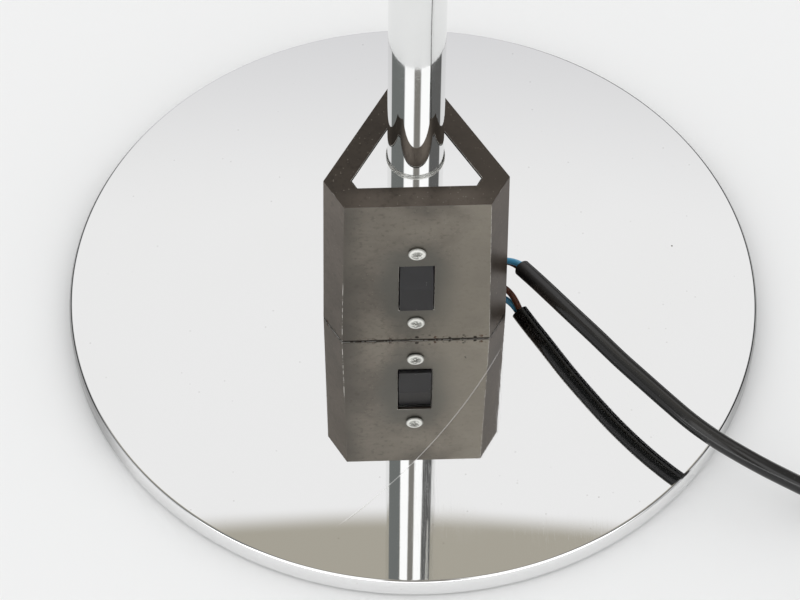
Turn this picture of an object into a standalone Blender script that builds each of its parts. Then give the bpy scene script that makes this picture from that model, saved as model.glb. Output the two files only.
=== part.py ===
"""Arc floor lamp: chrome disc base, switch housing, straight stem, swivelling arc and tilting shade.

Metres, +Z up. The origin is on the floor at the centre of the base. The housing's switch faces -Y, and the
arc reaches out over +X. Run it with: blender --background --python part.py
"""

import math

import bmesh
import bpy
from mathutils import Matrix, Vector

# ---------------------------------------------------------------- driving dimensions (metres)

GAP = 0.0003  # between two pieces that touch, or that turn in one another
RELIEF = 0.003  # how far a cutter runs past the face it opens

PAD_DIAMETER, PAD_THICKNESS = 0.300, 0.001
DISC_DIAMETER, DISC_THICKNESS = 0.320, 0.010
DISC_EDGE_WIDTH, DISC_EDGE_DROP = 0.0015, 0.003  # the rounded top edge
DISC_CHAMFER = 0.0005

STEM_DIAMETER, STEM_WALL = 0.025, 0.0015
STEM_TOP_HEIGHT = 1.470
STEM_JOINT_HEIGHT = 0.760  # where the two stem sections meet
FOOT_PLUG_LENGTH, COUPLER_LENGTH, COUPLER_BORE = 0.026, 0.080, 0.014
BASE_BOLT_DIAMETER, BASE_BOLT_HEAD, BASE_BOLT_HEAD_HEIGHT = 0.010, 0.019, 0.004
BASE_BOLT_LENGTH = 0.026
WASHER_DIAMETER, WASHER_THICKNESS = 0.024, 0.001

# The housing is a triangular prism with its three corners cut off, sized by distances from the stem's axis.
HOUSING_HEIGHT, HOUSING_WALL, HOUSING_TOP_WALL = 0.100, 0.0015, 0.0018
HOUSING_FACE, HOUSING_CORNER = 0.0291, 0.0440  # at the foot: to a long face, and to a cut corner
HOUSING_DRAFT = 0.0003  # how much nearer the long faces stand at the top
CORNER_DRAFT = 0.0016
WINDOW_FACE, WINDOW_CORNER = 0.0181, 0.0320
PLATE_MARGIN, PLATE_THICKNESS = 0.0055, 0.0015  # the flange under the housing's top wall
PLATE_FIELD_DROP = 0.0004  # the plate's raised field fills the window, this far below the housing's top
COLLAR_DIAMETER, COLLAR_HEIGHT = 0.034, 0.008
FOOT_RING_WIDTH, FOOT_RING_HEIGHT = 0.0004, 0.0010

SWITCH_WIDTH, SWITCH_HEIGHT, SWITCH_CENTRE_HEIGHT = 0.0161, 0.0330, 0.0398  # the opening in the front face
ROCKER_SIDE_GAP, ROCKER_END_GAP = 0.00045, 0.0008
ROCKER_PROUD, ROCKER_CAP, ROCKER_PIVOT_DEPTH = 0.0014, 0.0021, 0.0064
ROCKER_ANGLE = 7.0  # degrees: each half of the rocker slopes by this, and it rests this far from level
ROCKER_PIN = 0.002
SWITCH_LIP, SWITCH_LIP_DEPTH, SWITCH_WALL = 0.0020, 0.0040, 0.0012
SWITCH_STEM_CLEARANCE = 0.0020
BRACKET_WIDTH, BRACKET_THICKNESS, BRACKET_MARGIN, BRACKET_FOOT = 0.026, 0.0012, 0.0060, 0.0100
SCREW_SPACING, SCREW_LIFT = 0.0521, 0.0005  # the pair of screws sits a little high on the switch
SCREW_SHANK, SCREW_HEAD, SCREW_HEAD_HEIGHT, SCREW_LENGTH = 0.004, 0.0080, 0.0013, 0.008
SCREW_RIM, CROSS_LENGTH, CROSS_WIDTH = 0.35, 0.0042, 0.0012  # the rim's share of the height, the cross recess
TERMINAL_WIDTH, TERMINAL_THICKNESS, TERMINAL_LENGTH, TERMINAL_SPACING = 0.0048, 0.0008, 0.0065, 0.014

CORE_DIAMETER, CORE_SPACING, CORE_BEND = 0.0030, 0.0034, 0.014
CORE_STRAIGHT = 0.0015  # how far the cores run straight out of the grommet
CORE_SPREAD = Vector((0.0, -0.0030, 0.0010))  # how far the cores part at their bend
CORD_HOLE, CORD_HOLE_HEIGHT, CORD_HOLE_OFFSET = 0.0100, 0.0108, 0.0127
GROMMET_LIP, GROMMET_LIP_THICKNESS, GROMMET_BORE = 0.0130, 0.0012, 0.0074
BLOCK_WIDTH, BLOCK_HEIGHT, BLOCK_CLEARANCE, BLOCK_BEVEL = 0.016, 0.014, 0.003, 0.0008
LEAD_DIAMETER, LEAD_HOLE, LEAD_HOLE_HEIGHT = 0.0022, 0.008, 0.064

CABLE_DIAMETER = 0.0062  # the flex inside the stem and the arc

HEAD_DIAMETER, HEAD_HEIGHT, HEAD_SPIGOT = 0.032, 0.050, 0.025
HEAD_LEDGE, HEAD_CABLE_BORE, HEAD_CHAMFER, CLAMP_HEIGHT = 0.008, 0.010, 0.0015, 0.022
BUSH_WALL, BUSH_DEPTH, BUSH_FLANGE = 0.0019, 0.014, 0.0015
CLAMP_SHANK, CLAMP_KNOB, CLAMP_KNOB_LENGTH, CLAMP_NECK_LENGTH = 0.006, 0.018, 0.012, 0.003
SMALL_CHAMFER = 0.001  # on knobs, collars and the fork

ARC_DIAMETER, ARC_WALL = 0.019, 0.0012
ARC_REACH, ARC_RISE, ARC_END_ANGLE = 0.360, 0.320, 25.0  # half widths of the ellipse, and where it stops
ARC_STRAIGHT = 0.025  # straight length above the swivel head
ARC_POINTS = 30

FITTING_SPIGOT, FITTING_COLLAR, FITTING_COLLAR_LENGTH = 0.020, 0.021, 0.008
TONGUE_THICKNESS, TONGUE_WIDTH, HINGE_REACH = 0.006, 0.014, 0.0125
TILT_WASHER_THICKNESS, CHEEK_THICKNESS, CHEEK_WIDTH = 0.001, 0.003, 0.016
TILT_BOLT, TILT_BOLT_HEAD, TILT_BOLT_HEAD_HEIGHT = 0.005, 0.009, 0.003
TILT_KNOB, TILT_KNOB_LENGTH = 0.018, 0.010
FORK_DIAMETER, FORK_THROAT, FORK_LENGTH = 0.022, 0.010, 0.014

CAP_DIAMETER, CAP_DROP, CAP_THICKNESS = 0.064, 0.006, 0.0015
SHADE_DIAMETER, SHADE_HEIGHT, SHADE_TOP_DIAMETER, SHADE_THICKNESS = 0.280, 0.150, 0.060, 0.001
SHADE_VENTS, VENT_DIAMETER = 8, 0.006
NIPPLE_DIAMETER, NIPPLE_WALL = 0.010, 0.0012
HOLDER_DIAMETER, HOLDER_CAP_HEIGHT, HOLDER_BODY_HEIGHT = 0.040, 0.018, 0.034
HOLDER_CAP_WALL, HOLDER_FLOOR, HOLDER_MOUTH_CLEARANCE = 0.002, 0.006, 0.001
BULB_CAP_DIAMETER, BULB_CAP_LENGTH, BULB_THREAD_PITCH, BULB_THREAD_DEPTH = 0.0262, 0.026, 0.0032, 0.0008
BULB_DIAMETER, BULB_LENGTH, BULB_GLASS = 0.060, 0.078, 0.0008

CORD_DIAMETER = 0.008
COIL_CENTRE = Vector((0.258, -0.195))
COIL_OUTER, COIL_INNER = 0.0605, 0.0272
COIL_BASE, COIL_TOP, COIL_EDGE = 0.0011, 0.0178, 0.004
TIE_WIDTH, TIE_THICKNESS, TIE_SLACK = 0.008, 0.0008, 0.0004
PLUG_LENGTH, PLUG_WIDTH, PLUG_THICKNESS, PLUG_NECK = 0.034, 0.026, 0.0137, 0.018
PIN_DIAMETER, PIN_LENGTH, PIN_SPACING = 0.0040, 0.019, 0.0186
STRAIN_RELIEF_LENGTH, STRAIN_RELIEF_DIAMETER = 0.027, 0.012

# The cord's way from its cut sheath, over the disc's edge, down to the floor and up to the coil.
CORD_ROUTE = [
    (0.0500, -0.0020, 0.0284), (0.0555, -0.0103, 0.0303), (0.0608, -0.0182, 0.0317), (0.0707, -0.0333, 0.0344),
    (0.0806, -0.0475, 0.0362), (0.0904, -0.0612, 0.0371), (0.1002, -0.0736, 0.0376), (0.1100, -0.0851, 0.0372),
    (0.1200, -0.0956, 0.0360), (0.1303, -0.1034, 0.0335), (0.1405, -0.1093, 0.0305), (0.1512, -0.1139, 0.0262),
    (0.1620, -0.1170, 0.0207), (0.1732, -0.1195, 0.0145), (0.1860, -0.1222, 0.0085), (0.1990, -0.1252, 0.0051),
    (0.2110, -0.1283, 0.0043), (0.2225, -0.1312, 0.0043), (0.2345, -0.1341, 0.0045),
]
# From the coil's last turn down to the plug.
TAIL_ROUTE = [
    (0.2920, -0.1392, 0.0104), (0.3040, -0.1402, 0.0078), (0.3180, -0.1418, 0.0062), (0.3320, -0.1432, 0.0068),
    (0.3450, -0.1440, 0.0072),
]

# ---------------------------------------------------------------- values that follow from them

DISC_BASE = PAD_THICKNESS + GAP
DISC_TOP = DISC_BASE + DISC_THICKNESS
STEM_RADIUS = STEM_DIAMETER / 2
STEM_BASE = DISC_TOP + GAP
STEM_BORE_RADIUS = STEM_RADIUS - STEM_WALL
SPIGOT_RADIUS = STEM_BORE_RADIUS - GAP
HOUSING_BASE = DISC_TOP + GAP
HOUSING_TOP = DISC_TOP + HOUSING_HEIGHT
PLATE_TOP = HOUSING_TOP - HOUSING_TOP_WALL - GAP
PLATE_FIELD_TOP = HOUSING_TOP - PLATE_FIELD_DROP
FRONT = -HOUSING_FACE  # y of the front face at the foot
FRONT_INSIDE = FRONT + HOUSING_WALL + HOUSING_DRAFT
SWITCH_HEIGHT_Z = DISC_TOP + SWITCH_CENTRE_HEIGHT
ARC_RADIUS = ARC_DIAMETER / 2
HEAD_BASE = STEM_TOP_HEIGHT + GAP
HEAD_TOP = HEAD_BASE + HEAD_HEIGHT
CLAMP_Z = HEAD_BASE + CLAMP_HEIGHT

# ---------------------------------------------------------------- looks


def look(name, colour, roughness, metallic=0.0):
    material = bpy.data.materials.new(name)
    material.use_nodes = True
    shader = material.node_tree.nodes["Principled BSDF"]
    shader.inputs["Base Color"].default_value = (*colour, 1.0)
    shader.inputs["Roughness"].default_value = roughness
    shader.inputs["Metallic"].default_value = metallic
    return material


def make_looks():
    return {
        "chrome": look("chrome", (0.86, 0.87, 0.88), 0.04, 1.0),
        "gunmetal": look("gunmetal", (0.13, 0.12, 0.11), 0.38, 0.9),
        "steel": look("steel", (0.55, 0.55, 0.54), 0.35, 1.0),
        "nickel": look("nickel", (0.80, 0.79, 0.76), 0.2, 1.0),
        "brass": look("brass", (0.72, 0.55, 0.25), 0.3, 1.0),
        "black_plastic": look("black_plastic", (0.03, 0.03, 0.032), 0.45),
        "black_pvc": look("black_pvc", (0.012, 0.012, 0.013), 0.35),
        "clear_plastic": look("clear_plastic", (0.85, 0.87, 0.86), 0.15),
        "nylon": look("nylon", (0.80, 0.79, 0.75), 0.5),
        "white_plastic": look("white_plastic", (0.75, 0.74, 0.71), 0.4),
        "felt": look("felt", (0.02, 0.02, 0.02), 0.95),
        "blue_core": look("blue_core", (0.05, 0.28, 0.58), 0.35),
        "brown_core": look("brown_core", (0.16, 0.05, 0.025), 0.35),
        "glass": look("glass", (0.93, 0.92, 0.88), 0.1),
    }


# ---------------------------------------------------------------- making solids


def clear_scene():
    for obj in list(bpy.data.objects):
        bpy.data.objects.remove(obj, do_unlink=True)


def new_collection(name):
    collection = bpy.data.collections.new(name)
    bpy.context.scene.collection.children.link(collection)
    return collection


def facing(direction):
    """The rotation that turns +Z to a direction."""
    return Vector((0, 0, 1)).rotation_difference(Vector(direction)).to_matrix().to_4x4()


def place(obj, matrix):
    location, rotation, _ = matrix.decompose()
    obj.location = location
    obj.rotation_euler = rotation.to_euler()


def add(name, data, material, matrix=Matrix()):
    obj = bpy.data.objects.new(name, data)
    parts.objects.link(obj)
    data.materials.append(material)
    place(obj, matrix)
    return obj


def turned(name, profile, material, matrix=Matrix(), steps=24, wall=0.0):
    """A profile of (radius, height) points turned about Z, top to bottom down its outer side.

    It starts and ends on the axis, or, with a bore, closes on itself. With a wall it is an open line,
    made thick.
    """
    mesh = bpy.data.meshes.new(name)
    points = [(radius, 0.0, height) for radius, height in profile]
    edges = [(i, i + 1) for i in range(len(points) - 1)]
    if wall == 0.0 and profile[0][0] > 0:
        edges.append((len(points) - 1, 0))
    mesh.from_pydata(points, edges, [])
    obj = add(name, mesh, material, matrix)
    screw = obj.modifiers.new("Screw", "SCREW")
    screw.axis = "Z"
    screw.angle = 2 * math.pi
    screw.steps = screw.render_steps = steps
    screw.use_merge_vertices = True
    screw.merge_threshold = 0.00001
    if wall:
        shell = obj.modifiers.new("Wall", "SOLIDIFY")
        shell.thickness = wall
        shell.offset = -1
        shell.use_even_offset = True
    return obj


def rod(name, diameter, length, material, matrix=Matrix(), steps=20):
    radius = diameter / 2
    return turned(name, [(0, length), (radius, length), (radius, 0), (0, 0)], material, matrix, steps)


def sleeve(name, outer, inner, length, material, matrix=Matrix(), steps=24):
    outer, inner = outer / 2, inner / 2
    profile = [(inner, length), (outer, length), (outer, 0), (inner, 0)]
    return turned(name, profile, material, matrix, steps)


def box(name, low, high, material, matrix=Matrix(), bevel=0.0):
    low, high = Vector(low), Vector(high)
    mesh = bpy.data.meshes.new(name)
    solid = bmesh.new()
    size = Matrix.Diagonal((*(high - low), 1))
    bmesh.ops.create_cube(solid, size=1.0, matrix=Matrix.Translation((low + high) / 2) @ size)
    solid.to_mesh(mesh)
    solid.free()
    obj = add(name, mesh, material, matrix)
    if bevel:
        rounded(obj, bevel)
    return obj


def rounded(obj, width, segments=2):
    bevel = obj.modifiers.new("Edges", "BEVEL")
    bevel.width = width
    bevel.segments = segments
    bevel.limit_method = "ANGLE"


def slab(name, outline, thickness, material, matrix=Matrix()):
    """A flat outline in the local XY plane, made thick both ways along Z, as a mesh that takes a cut."""
    curve = bpy.data.curves.new(name, "CURVE")
    curve.dimensions = "2D"
    curve.fill_mode = "BOTH"
    curve.extrude = thickness / 2
    spline = curve.splines.new("POLY")
    spline.points.add(len(outline) - 1)
    for point, (x, y) in zip(spline.points, outline):
        point.co = (x, y, 0, 1)
    spline.use_cyclic_u = True
    flat = bpy.data.objects.new(name + "_outline", curve)
    cutters.objects.link(flat)
    bpy.context.view_layer.update()
    mesh = bpy.data.meshes.new_from_object(flat.evaluated_get(bpy.context.evaluated_depsgraph_get()))
    bpy.data.objects.remove(flat, do_unlink=True)
    mesh.name = name
    welded = bmesh.new()
    welded.from_mesh(mesh)
    bmesh.ops.remove_doubles(welded, verts=welded.verts, dist=0.00001)
    bmesh.ops.recalc_face_normals(welded, faces=welded.faces)
    welded.to_mesh(mesh)
    welded.free()
    mesh.materials.clear()
    return add(name, mesh, material, matrix)


def tube(name, points, diameter, material, bevel_resolution=2, wall=0.0):
    """A round wire along the points. With a wall it is a pipe with open ends."""
    curve = bpy.data.curves.new(name, "CURVE")
    curve.dimensions = "3D"
    curve.bevel_depth = diameter / 2
    curve.bevel_resolution = bevel_resolution
    curve.use_fill_caps = not wall
    spline = curve.splines.new("POLY")
    spline.points.add(len(points) - 1)
    for point, position in zip(spline.points, points):
        point.co = (*position, 1)
    obj = add(name, curve, material)
    if wall:
        shell = obj.modifiers.new("Wall", "SOLIDIFY")
        shell.thickness = wall
        shell.offset = -1
    return obj


def smooth_line(route, spacing):
    """Points a set distance apart on the smooth curve through a route's own points."""
    route = [Vector(point) for point in route]
    fine = []
    for i in range(len(route) - 1):
        before, start = route[max(i - 1, 0)], route[i]
        end, after = route[i + 1], route[min(i + 2, len(route) - 1)]
        for step in range(12):
            t = step / 12
            leave, arrive = (end - before) / 2, (after - start) / 2
            fine.append(
                start * (2 * t**3 - 3 * t**2 + 1)
                + leave * (t**3 - 2 * t**2 + t)
                + end * (3 * t**2 - 2 * t**3)
                + arrive * (t**3 - t**2)
            )
    fine.append(route[-1])
    length = sum((b - a).length for a, b in zip(fine, fine[1:]))
    count = max(2, round(length / spacing))
    result, walked, wanted = [fine[0]], 0.0, 1
    for a, b in zip(fine, fine[1:]):
        step = (b - a).length
        while wanted < count and walked + step >= wanted * length / count:
            result.append(a.lerp(b, (wanted * length / count - walked) / step))
            wanted += 1
        walked += step
    return result + [fine[-1]]


def cut(obj, *tools, operation="DIFFERENCE"):
    for tool in tools:
        parts.objects.unlink(tool)
        cutters.objects.link(tool)
        tool.hide_render = True
        tool.display_type = "WIRE"
        boolean = obj.modifiers.new(tool.name, "BOOLEAN")
        boolean.operation = operation
        boolean.object = tool
    return obj


def join(obj, *tools):
    return cut(obj, *tools, operation="UNION")


def pivot(name, position, *children):
    """An empty on a joint's axis that carries the moving pieces."""
    empty = bpy.data.objects.new(name, None)
    empty.empty_display_size = 0.02
    empty.location = position
    parts.objects.link(empty)
    for child in children:
        child.parent = empty
        child.matrix_parent_inverse = Matrix.Translation(position).inverted()
    return empty


def cut_triangle(face, corner):
    """The six points of a triangle with cut corners. Its long faces look to -90, 30 and 150 degrees."""
    points = []
    for side in range(6):
        angles = math.radians(-90 + 60 * side), math.radians(-30 + 60 * side)
        sizes = (face, corner) if side % 2 == 0 else (corner, face)
        (ax, ay), (bx, by) = ((math.cos(a), math.sin(a)) for a in angles)
        across = ax * by - ay * bx
        points.append(((sizes[0] * by - sizes[1] * ay) / across, (sizes[1] * ax - sizes[0] * bx) / across))
    return points


def tapered_prism(name, low, high, material):
    """A prism between two cut triangles, each given as (height, face, corner)."""
    mesh = bpy.data.meshes.new(name)
    solid = bmesh.new()
    rings = [
        [solid.verts.new((x, y, z)) for x, y in cut_triangle(face, corner)] for z, face, corner in (low, high)
    ]
    solid.faces.new(rings[1])
    solid.faces.new(reversed(rings[0]))
    for i in range(6):
        j = (i + 1) % 6
        solid.faces.new((rings[0][i], rings[0][j], rings[1][j], rings[1][i]))
    solid.to_mesh(mesh)
    solid.free()
    return add(name, mesh, material)


# ---------------------------------------------------------------- the base and the stem


def make_base():
    disc_radius = DISC_DIAMETER / 2
    rod("base_pad", PAD_DIAMETER, PAD_THICKNESS, looks["felt"], steps=48)

    bore = BASE_BOLT_DIAMETER / 2 + GAP
    counterbore = WASHER_DIAMETER / 2 + GAP
    recess = BASE_BOLT_HEAD_HEIGHT + WASHER_THICKNESS + 3 * GAP
    edge = []
    for step in range(5):
        angle = math.radians(90 - 22.5 * step)
        edge.append((
            disc_radius - DISC_EDGE_WIDTH * (1 - math.cos(angle)),
            DISC_TOP - DISC_EDGE_DROP * (1 - math.sin(angle)),
        ))
    profile = [(bore, DISC_TOP)] + edge + [
        (disc_radius, DISC_BASE + DISC_CHAMFER), (disc_radius - DISC_CHAMFER, DISC_BASE),
        (counterbore, DISC_BASE), (counterbore, DISC_BASE + recess), (bore, DISC_BASE + recess),
    ]
    turned("base_disc", profile, looks["chrome"], steps=64)

    head_base = DISC_BASE + GAP
    washer_base = head_base + BASE_BOLT_HEAD_HEIGHT + GAP
    sleeve("base_washer", WASHER_DIAMETER, BASE_BOLT_DIAMETER + 2 * GAP, WASHER_THICKNESS, looks["steel"],
           Matrix.Translation((0, 0, washer_base)), steps=24)
    bolt = rod("base_bolt", BASE_BOLT_HEAD, BASE_BOLT_HEAD_HEIGHT, looks["steel"],
               Matrix.Translation((0, 0, head_base)), steps=6)
    join(bolt, rod("base_bolt_shank", BASE_BOLT_DIAMETER, BASE_BOLT_LENGTH + BASE_BOLT_HEAD_HEIGHT / 2,
                   looks["steel"], Matrix.Translation((0, 0, head_base + BASE_BOLT_HEAD_HEIGHT / 2)), steps=16))


def make_stem():
    sleeve("stem_foot", 2 * SPIGOT_RADIUS, BASE_BOLT_DIAMETER + 2 * GAP, FOOT_PLUG_LENGTH, looks["steel"],
           Matrix.Translation((0, 0, STEM_BASE)), steps=24)
    lower = sleeve("stem_lower", STEM_DIAMETER, 2 * STEM_BORE_RADIUS, STEM_JOINT_HEIGHT - STEM_BASE,
                   looks["chrome"], Matrix.Translation((0, 0, STEM_BASE)))
    lead_side = Matrix.Rotation(math.radians(-30), 4, "Z") @ facing((1, 0, 0))
    cut(lower, rod("stem_lead_hole", LEAD_HOLE, STEM_DIAMETER, looks["chrome"],
                   Matrix.Translation((0, 0, DISC_TOP + LEAD_HOLE_HEIGHT)) @ lead_side, steps=16))
    upper_base = STEM_JOINT_HEIGHT + GAP
    sleeve("stem_upper", STEM_DIAMETER, 2 * STEM_BORE_RADIUS, STEM_TOP_HEIGHT - upper_base, looks["chrome"],
           Matrix.Translation((0, 0, upper_base)))
    sleeve("stem_coupler", 2 * SPIGOT_RADIUS, COUPLER_BORE, COUPLER_LENGTH, looks["steel"],
           Matrix.Translation((0, 0, STEM_JOINT_HEIGHT - COUPLER_LENGTH / 2)), steps=24)
    cable_base = DISC_TOP + LEAD_HOLE_HEIGHT
    rod("stem_cable", CABLE_DIAMETER, HEAD_BASE - cable_base, looks["black_pvc"],
        Matrix.Translation((0, 0, cable_base)), steps=10)


# ---------------------------------------------------------------- the housing


def face_frame(along, height, out=HOUSING_FACE):
    """A frame on the housing's right rear face: +Z looks out of it, +Y up, and "along" counts to the front."""
    outward = Vector((math.cos(math.radians(30)), math.sin(math.radians(30)), 0))
    rearward = Vector((-outward.y, outward.x, 0))
    position = outward * out - rearward * along + Vector((0, 0, height))
    frame = Matrix((rearward, Vector((0, 0, 1)), outward)).transposed().to_4x4()
    return Matrix.Translation(position) @ frame


def make_housing():
    top_face, top_corner = HOUSING_FACE - HOUSING_DRAFT, HOUSING_CORNER - CORNER_DRAFT
    housing = tapered_prism("housing", (HOUSING_BASE, HOUSING_FACE, HOUSING_CORNER),
                            (HOUSING_TOP, top_face, top_corner), looks["gunmetal"])
    hollow = tapered_prism(
        "housing_hollow",
        (HOUSING_BASE - RELIEF, HOUSING_FACE - HOUSING_WALL, HOUSING_CORNER - HOUSING_WALL),
        (HOUSING_TOP - HOUSING_TOP_WALL, top_face - HOUSING_WALL, top_corner - HOUSING_WALL),
        looks["gunmetal"])
    window_size = WINDOW_FACE, WINDOW_CORNER
    window = tapered_prism("housing_window", (HOUSING_TOP - 2 * HOUSING_TOP_WALL, *window_size),
                           (HOUSING_TOP + RELIEF, *window_size), looks["gunmetal"])
    opening = box("switch_opening",
                  (-SWITCH_WIDTH / 2, FRONT - RELIEF, SWITCH_HEIGHT_Z - SWITCH_HEIGHT / 2),
                  (SWITCH_WIDTH / 2, FRONT_INSIDE + RELIEF, SWITCH_HEIGHT_Z + SWITCH_HEIGHT / 2),
                  looks["gunmetal"])
    holes = [
        rod(f"screw_hole_{end}", SCREW_SHANK + 4 * GAP, 4 * RELIEF, looks["gunmetal"],
            Matrix.Translation((0, FRONT - RELIEF, screw_z(end))) @ facing((0, 1, 0)), steps=16)
        for end in ("upper", "lower")
    ]
    cord_frame = face_frame(CORD_HOLE_OFFSET, DISC_TOP + CORD_HOLE_HEIGHT, HOUSING_FACE - 2 * RELIEF)
    cord_hole = rod("cord_hole", CORD_HOLE, 4 * RELIEF, looks["gunmetal"], cord_frame, steps=20)
    cut(housing, hollow, window, opening, *holes, cord_hole)

    plate = tapered_prism("top_plate", (PLATE_TOP - PLATE_THICKNESS, *plate_size()),
                          (PLATE_TOP, *plate_size()), looks["chrome"])
    field_size = WINDOW_FACE - GAP, WINDOW_CORNER - GAP
    join(plate, tapered_prism("plate_field", (PLATE_TOP - PLATE_THICKNESS / 2, *field_size),
                              (PLATE_FIELD_TOP, *field_size), looks["chrome"]))
    plate_height = PLATE_FIELD_TOP - PLATE_TOP + PLATE_THICKNESS
    cut(plate, rod("plate_hole", STEM_DIAMETER + 2 * GAP, plate_height + 2 * RELIEF, looks["chrome"],
                   Matrix.Translation((0, 0, PLATE_TOP - PLATE_THICKNESS - RELIEF))))
    sleeve("plate_collar", COLLAR_DIAMETER, STEM_DIAMETER + 2 * GAP, COLLAR_HEIGHT, looks["steel"],
           Matrix.Translation((0, 0, PLATE_TOP - PLATE_THICKNESS - GAP - COLLAR_HEIGHT)), steps=24)
    ring_bore = STEM_DIAMETER + 2 * GAP
    sleeve("foot_ring", ring_bore + 2 * FOOT_RING_WIDTH, ring_bore, FOOT_RING_HEIGHT,
           looks["clear_plastic"], Matrix.Translation((0, 0, PLATE_FIELD_TOP + GAP)))


def plate_size():
    return WINDOW_FACE + PLATE_MARGIN, WINDOW_CORNER + PLATE_MARGIN / 2


def screw_z(end):
    middle = SWITCH_HEIGHT_Z + SCREW_LIFT
    return middle + (SCREW_SPACING / 2 if end == "upper" else -SCREW_SPACING / 2)


def make_screw(name, position, direction, length):
    """A pan-head screw: its seat is at the position, and its shank points along the direction."""
    head = SCREW_HEAD / 2
    profile = [(0, SCREW_HEAD_HEIGHT)]
    for step in range(1, 5):
        angle = math.radians(22.5 * step)
        height = SCREW_HEAD_HEIGHT * (SCREW_RIM + (1 - SCREW_RIM) * math.cos(angle))
        profile.append((head * math.sin(angle), height))
    profile += [(head, 0), (SCREW_SHANK / 2, 0), (SCREW_SHANK / 2, -length), (0, -length)]
    matrix = Matrix.Translation(position) @ facing(-Vector(direction))
    screw = turned(name, profile, looks["nickel"], matrix, steps=16)
    long, short = CROSS_LENGTH / 2, CROSS_WIDTH / 2
    for bar, (x, y) in (("bar_a", (long, short)), ("bar_b", (short, long))):
        cut(screw, box(f"{name}_{bar}", (-x, -y, SCREW_HEAD_HEIGHT / 2), (x, y, SCREW_HEAD_HEIGHT + RELIEF),
                       looks["nickel"], matrix))
    return screw


def make_bracket():
    front = FRONT_INSIDE + GAP
    back = front + BRACKET_THICKNESS
    foot_z = HOUSING_BASE
    top_z = screw_z("upper") + BRACKET_MARGIN
    bracket = box("switch_bracket", (-BRACKET_WIDTH / 2, front, foot_z), (BRACKET_WIDTH / 2, back, top_z),
                  looks["steel"])
    join(bracket, box("bracket_foot", (-BRACKET_WIDTH / 2, front, foot_z),
                      (BRACKET_WIDTH / 2, back + BRACKET_FOOT, foot_z + BRACKET_THICKNESS), looks["steel"]))
    window = box("bracket_window", (-SWITCH_WIDTH / 2, front - RELIEF, SWITCH_HEIGHT_Z - SWITCH_HEIGHT / 2),
                 (SWITCH_WIDTH / 2, back + RELIEF, SWITCH_HEIGHT_Z + SWITCH_HEIGHT / 2), looks["steel"])
    holes = [
        rod(f"bracket_hole_{end}", SCREW_SHANK + 2 * GAP, 3 * RELIEF, looks["steel"],
            Matrix.Translation((0, front - RELIEF, screw_z(end))) @ facing((0, 1, 0)), steps=16)
        for end in ("upper", "lower")
    ]
    cut(bracket, window, *holes)
    for end in ("upper", "lower"):
        seat = Vector((0, FRONT - GAP, screw_z(end)))
        make_screw(f"housing_screw_{end}", seat, (0, 1, 0), SCREW_LENGTH)


def make_switch():
    lip_front = FRONT_INSIDE + GAP + BRACKET_THICKNESS + GAP
    lip_back = lip_front + SWITCH_LIP_DEPTH
    back = -(STEM_RADIUS + SWITCH_STEM_CLEARANCE)
    half_width, half_height = SWITCH_WIDTH / 2, SWITCH_HEIGHT / 2
    z = SWITCH_HEIGHT_Z
    plastic = looks["black_plastic"]
    pin_y = FRONT - ROCKER_PROUD + ROCKER_PIVOT_DEPTH
    pocket_half = half_width - GAP - SWITCH_WALL  # half the width that the rocker's web turns in

    body = box("switch_body", (-half_width - SWITCH_LIP, lip_front, z - half_height - SWITCH_LIP),
               (half_width + SWITCH_LIP, lip_back, z + half_height + SWITCH_LIP), plastic)
    cut(body, box("switch_pocket", (-half_width, lip_front - RELIEF, z - half_height),
                  (half_width, lip_back - SWITCH_WALL, z + half_height), plastic))
    join(body, box("switch_back", (-half_width + GAP, lip_back - SWITCH_WALL / 2, z - half_height + GAP),
                   (half_width - GAP, back, z + half_height - GAP), plastic))
    cut(body, box("switch_cavity", (-pocket_half, lip_front, z - half_height + 2 * SWITCH_WALL),
                  (pocket_half, back - SWITCH_WALL, z + half_height - 2 * SWITCH_WALL), plastic))
    for side, low in (("left", -pocket_half - SWITCH_WALL), ("right", pocket_half)):
        join(body, box(f"switch_ear_{side}", (low, pin_y - ROCKER_PIN, z - ROCKER_PIN * 1.5),
                       (low + SWITCH_WALL, lip_back, z + ROCKER_PIN * 1.5), plastic))
    along_x = facing((1, 0, 0))
    cut(body, rod("switch_pin_hole", ROCKER_PIN + 2 * GAP, 2 * half_width, plastic,
                  Matrix.Translation((-half_width, pin_y, z)) @ along_x, steps=14))
    pin_length = 2 * (pocket_half + SWITCH_WALL)
    rod("rocker_pin", ROCKER_PIN, pin_length, looks["steel"],
        Matrix.Translation((-pin_length / 2, pin_y, z)) @ along_x, steps=14)

    make_rocker(Vector((0, pin_y, z)), pocket_half)

    side_x = half_width
    for name, offset in (("terminal_live", -TERMINAL_SPACING / 2), ("terminal_load", TERMINAL_SPACING / 2)):
        middle = z + offset
        box(name, (side_x, back - GAP - TERMINAL_WIDTH, middle - TERMINAL_THICKNESS / 2),
            (side_x + TERMINAL_LENGTH, back - GAP, middle + TERMINAL_THICKNESS / 2), looks["brass"])


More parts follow.
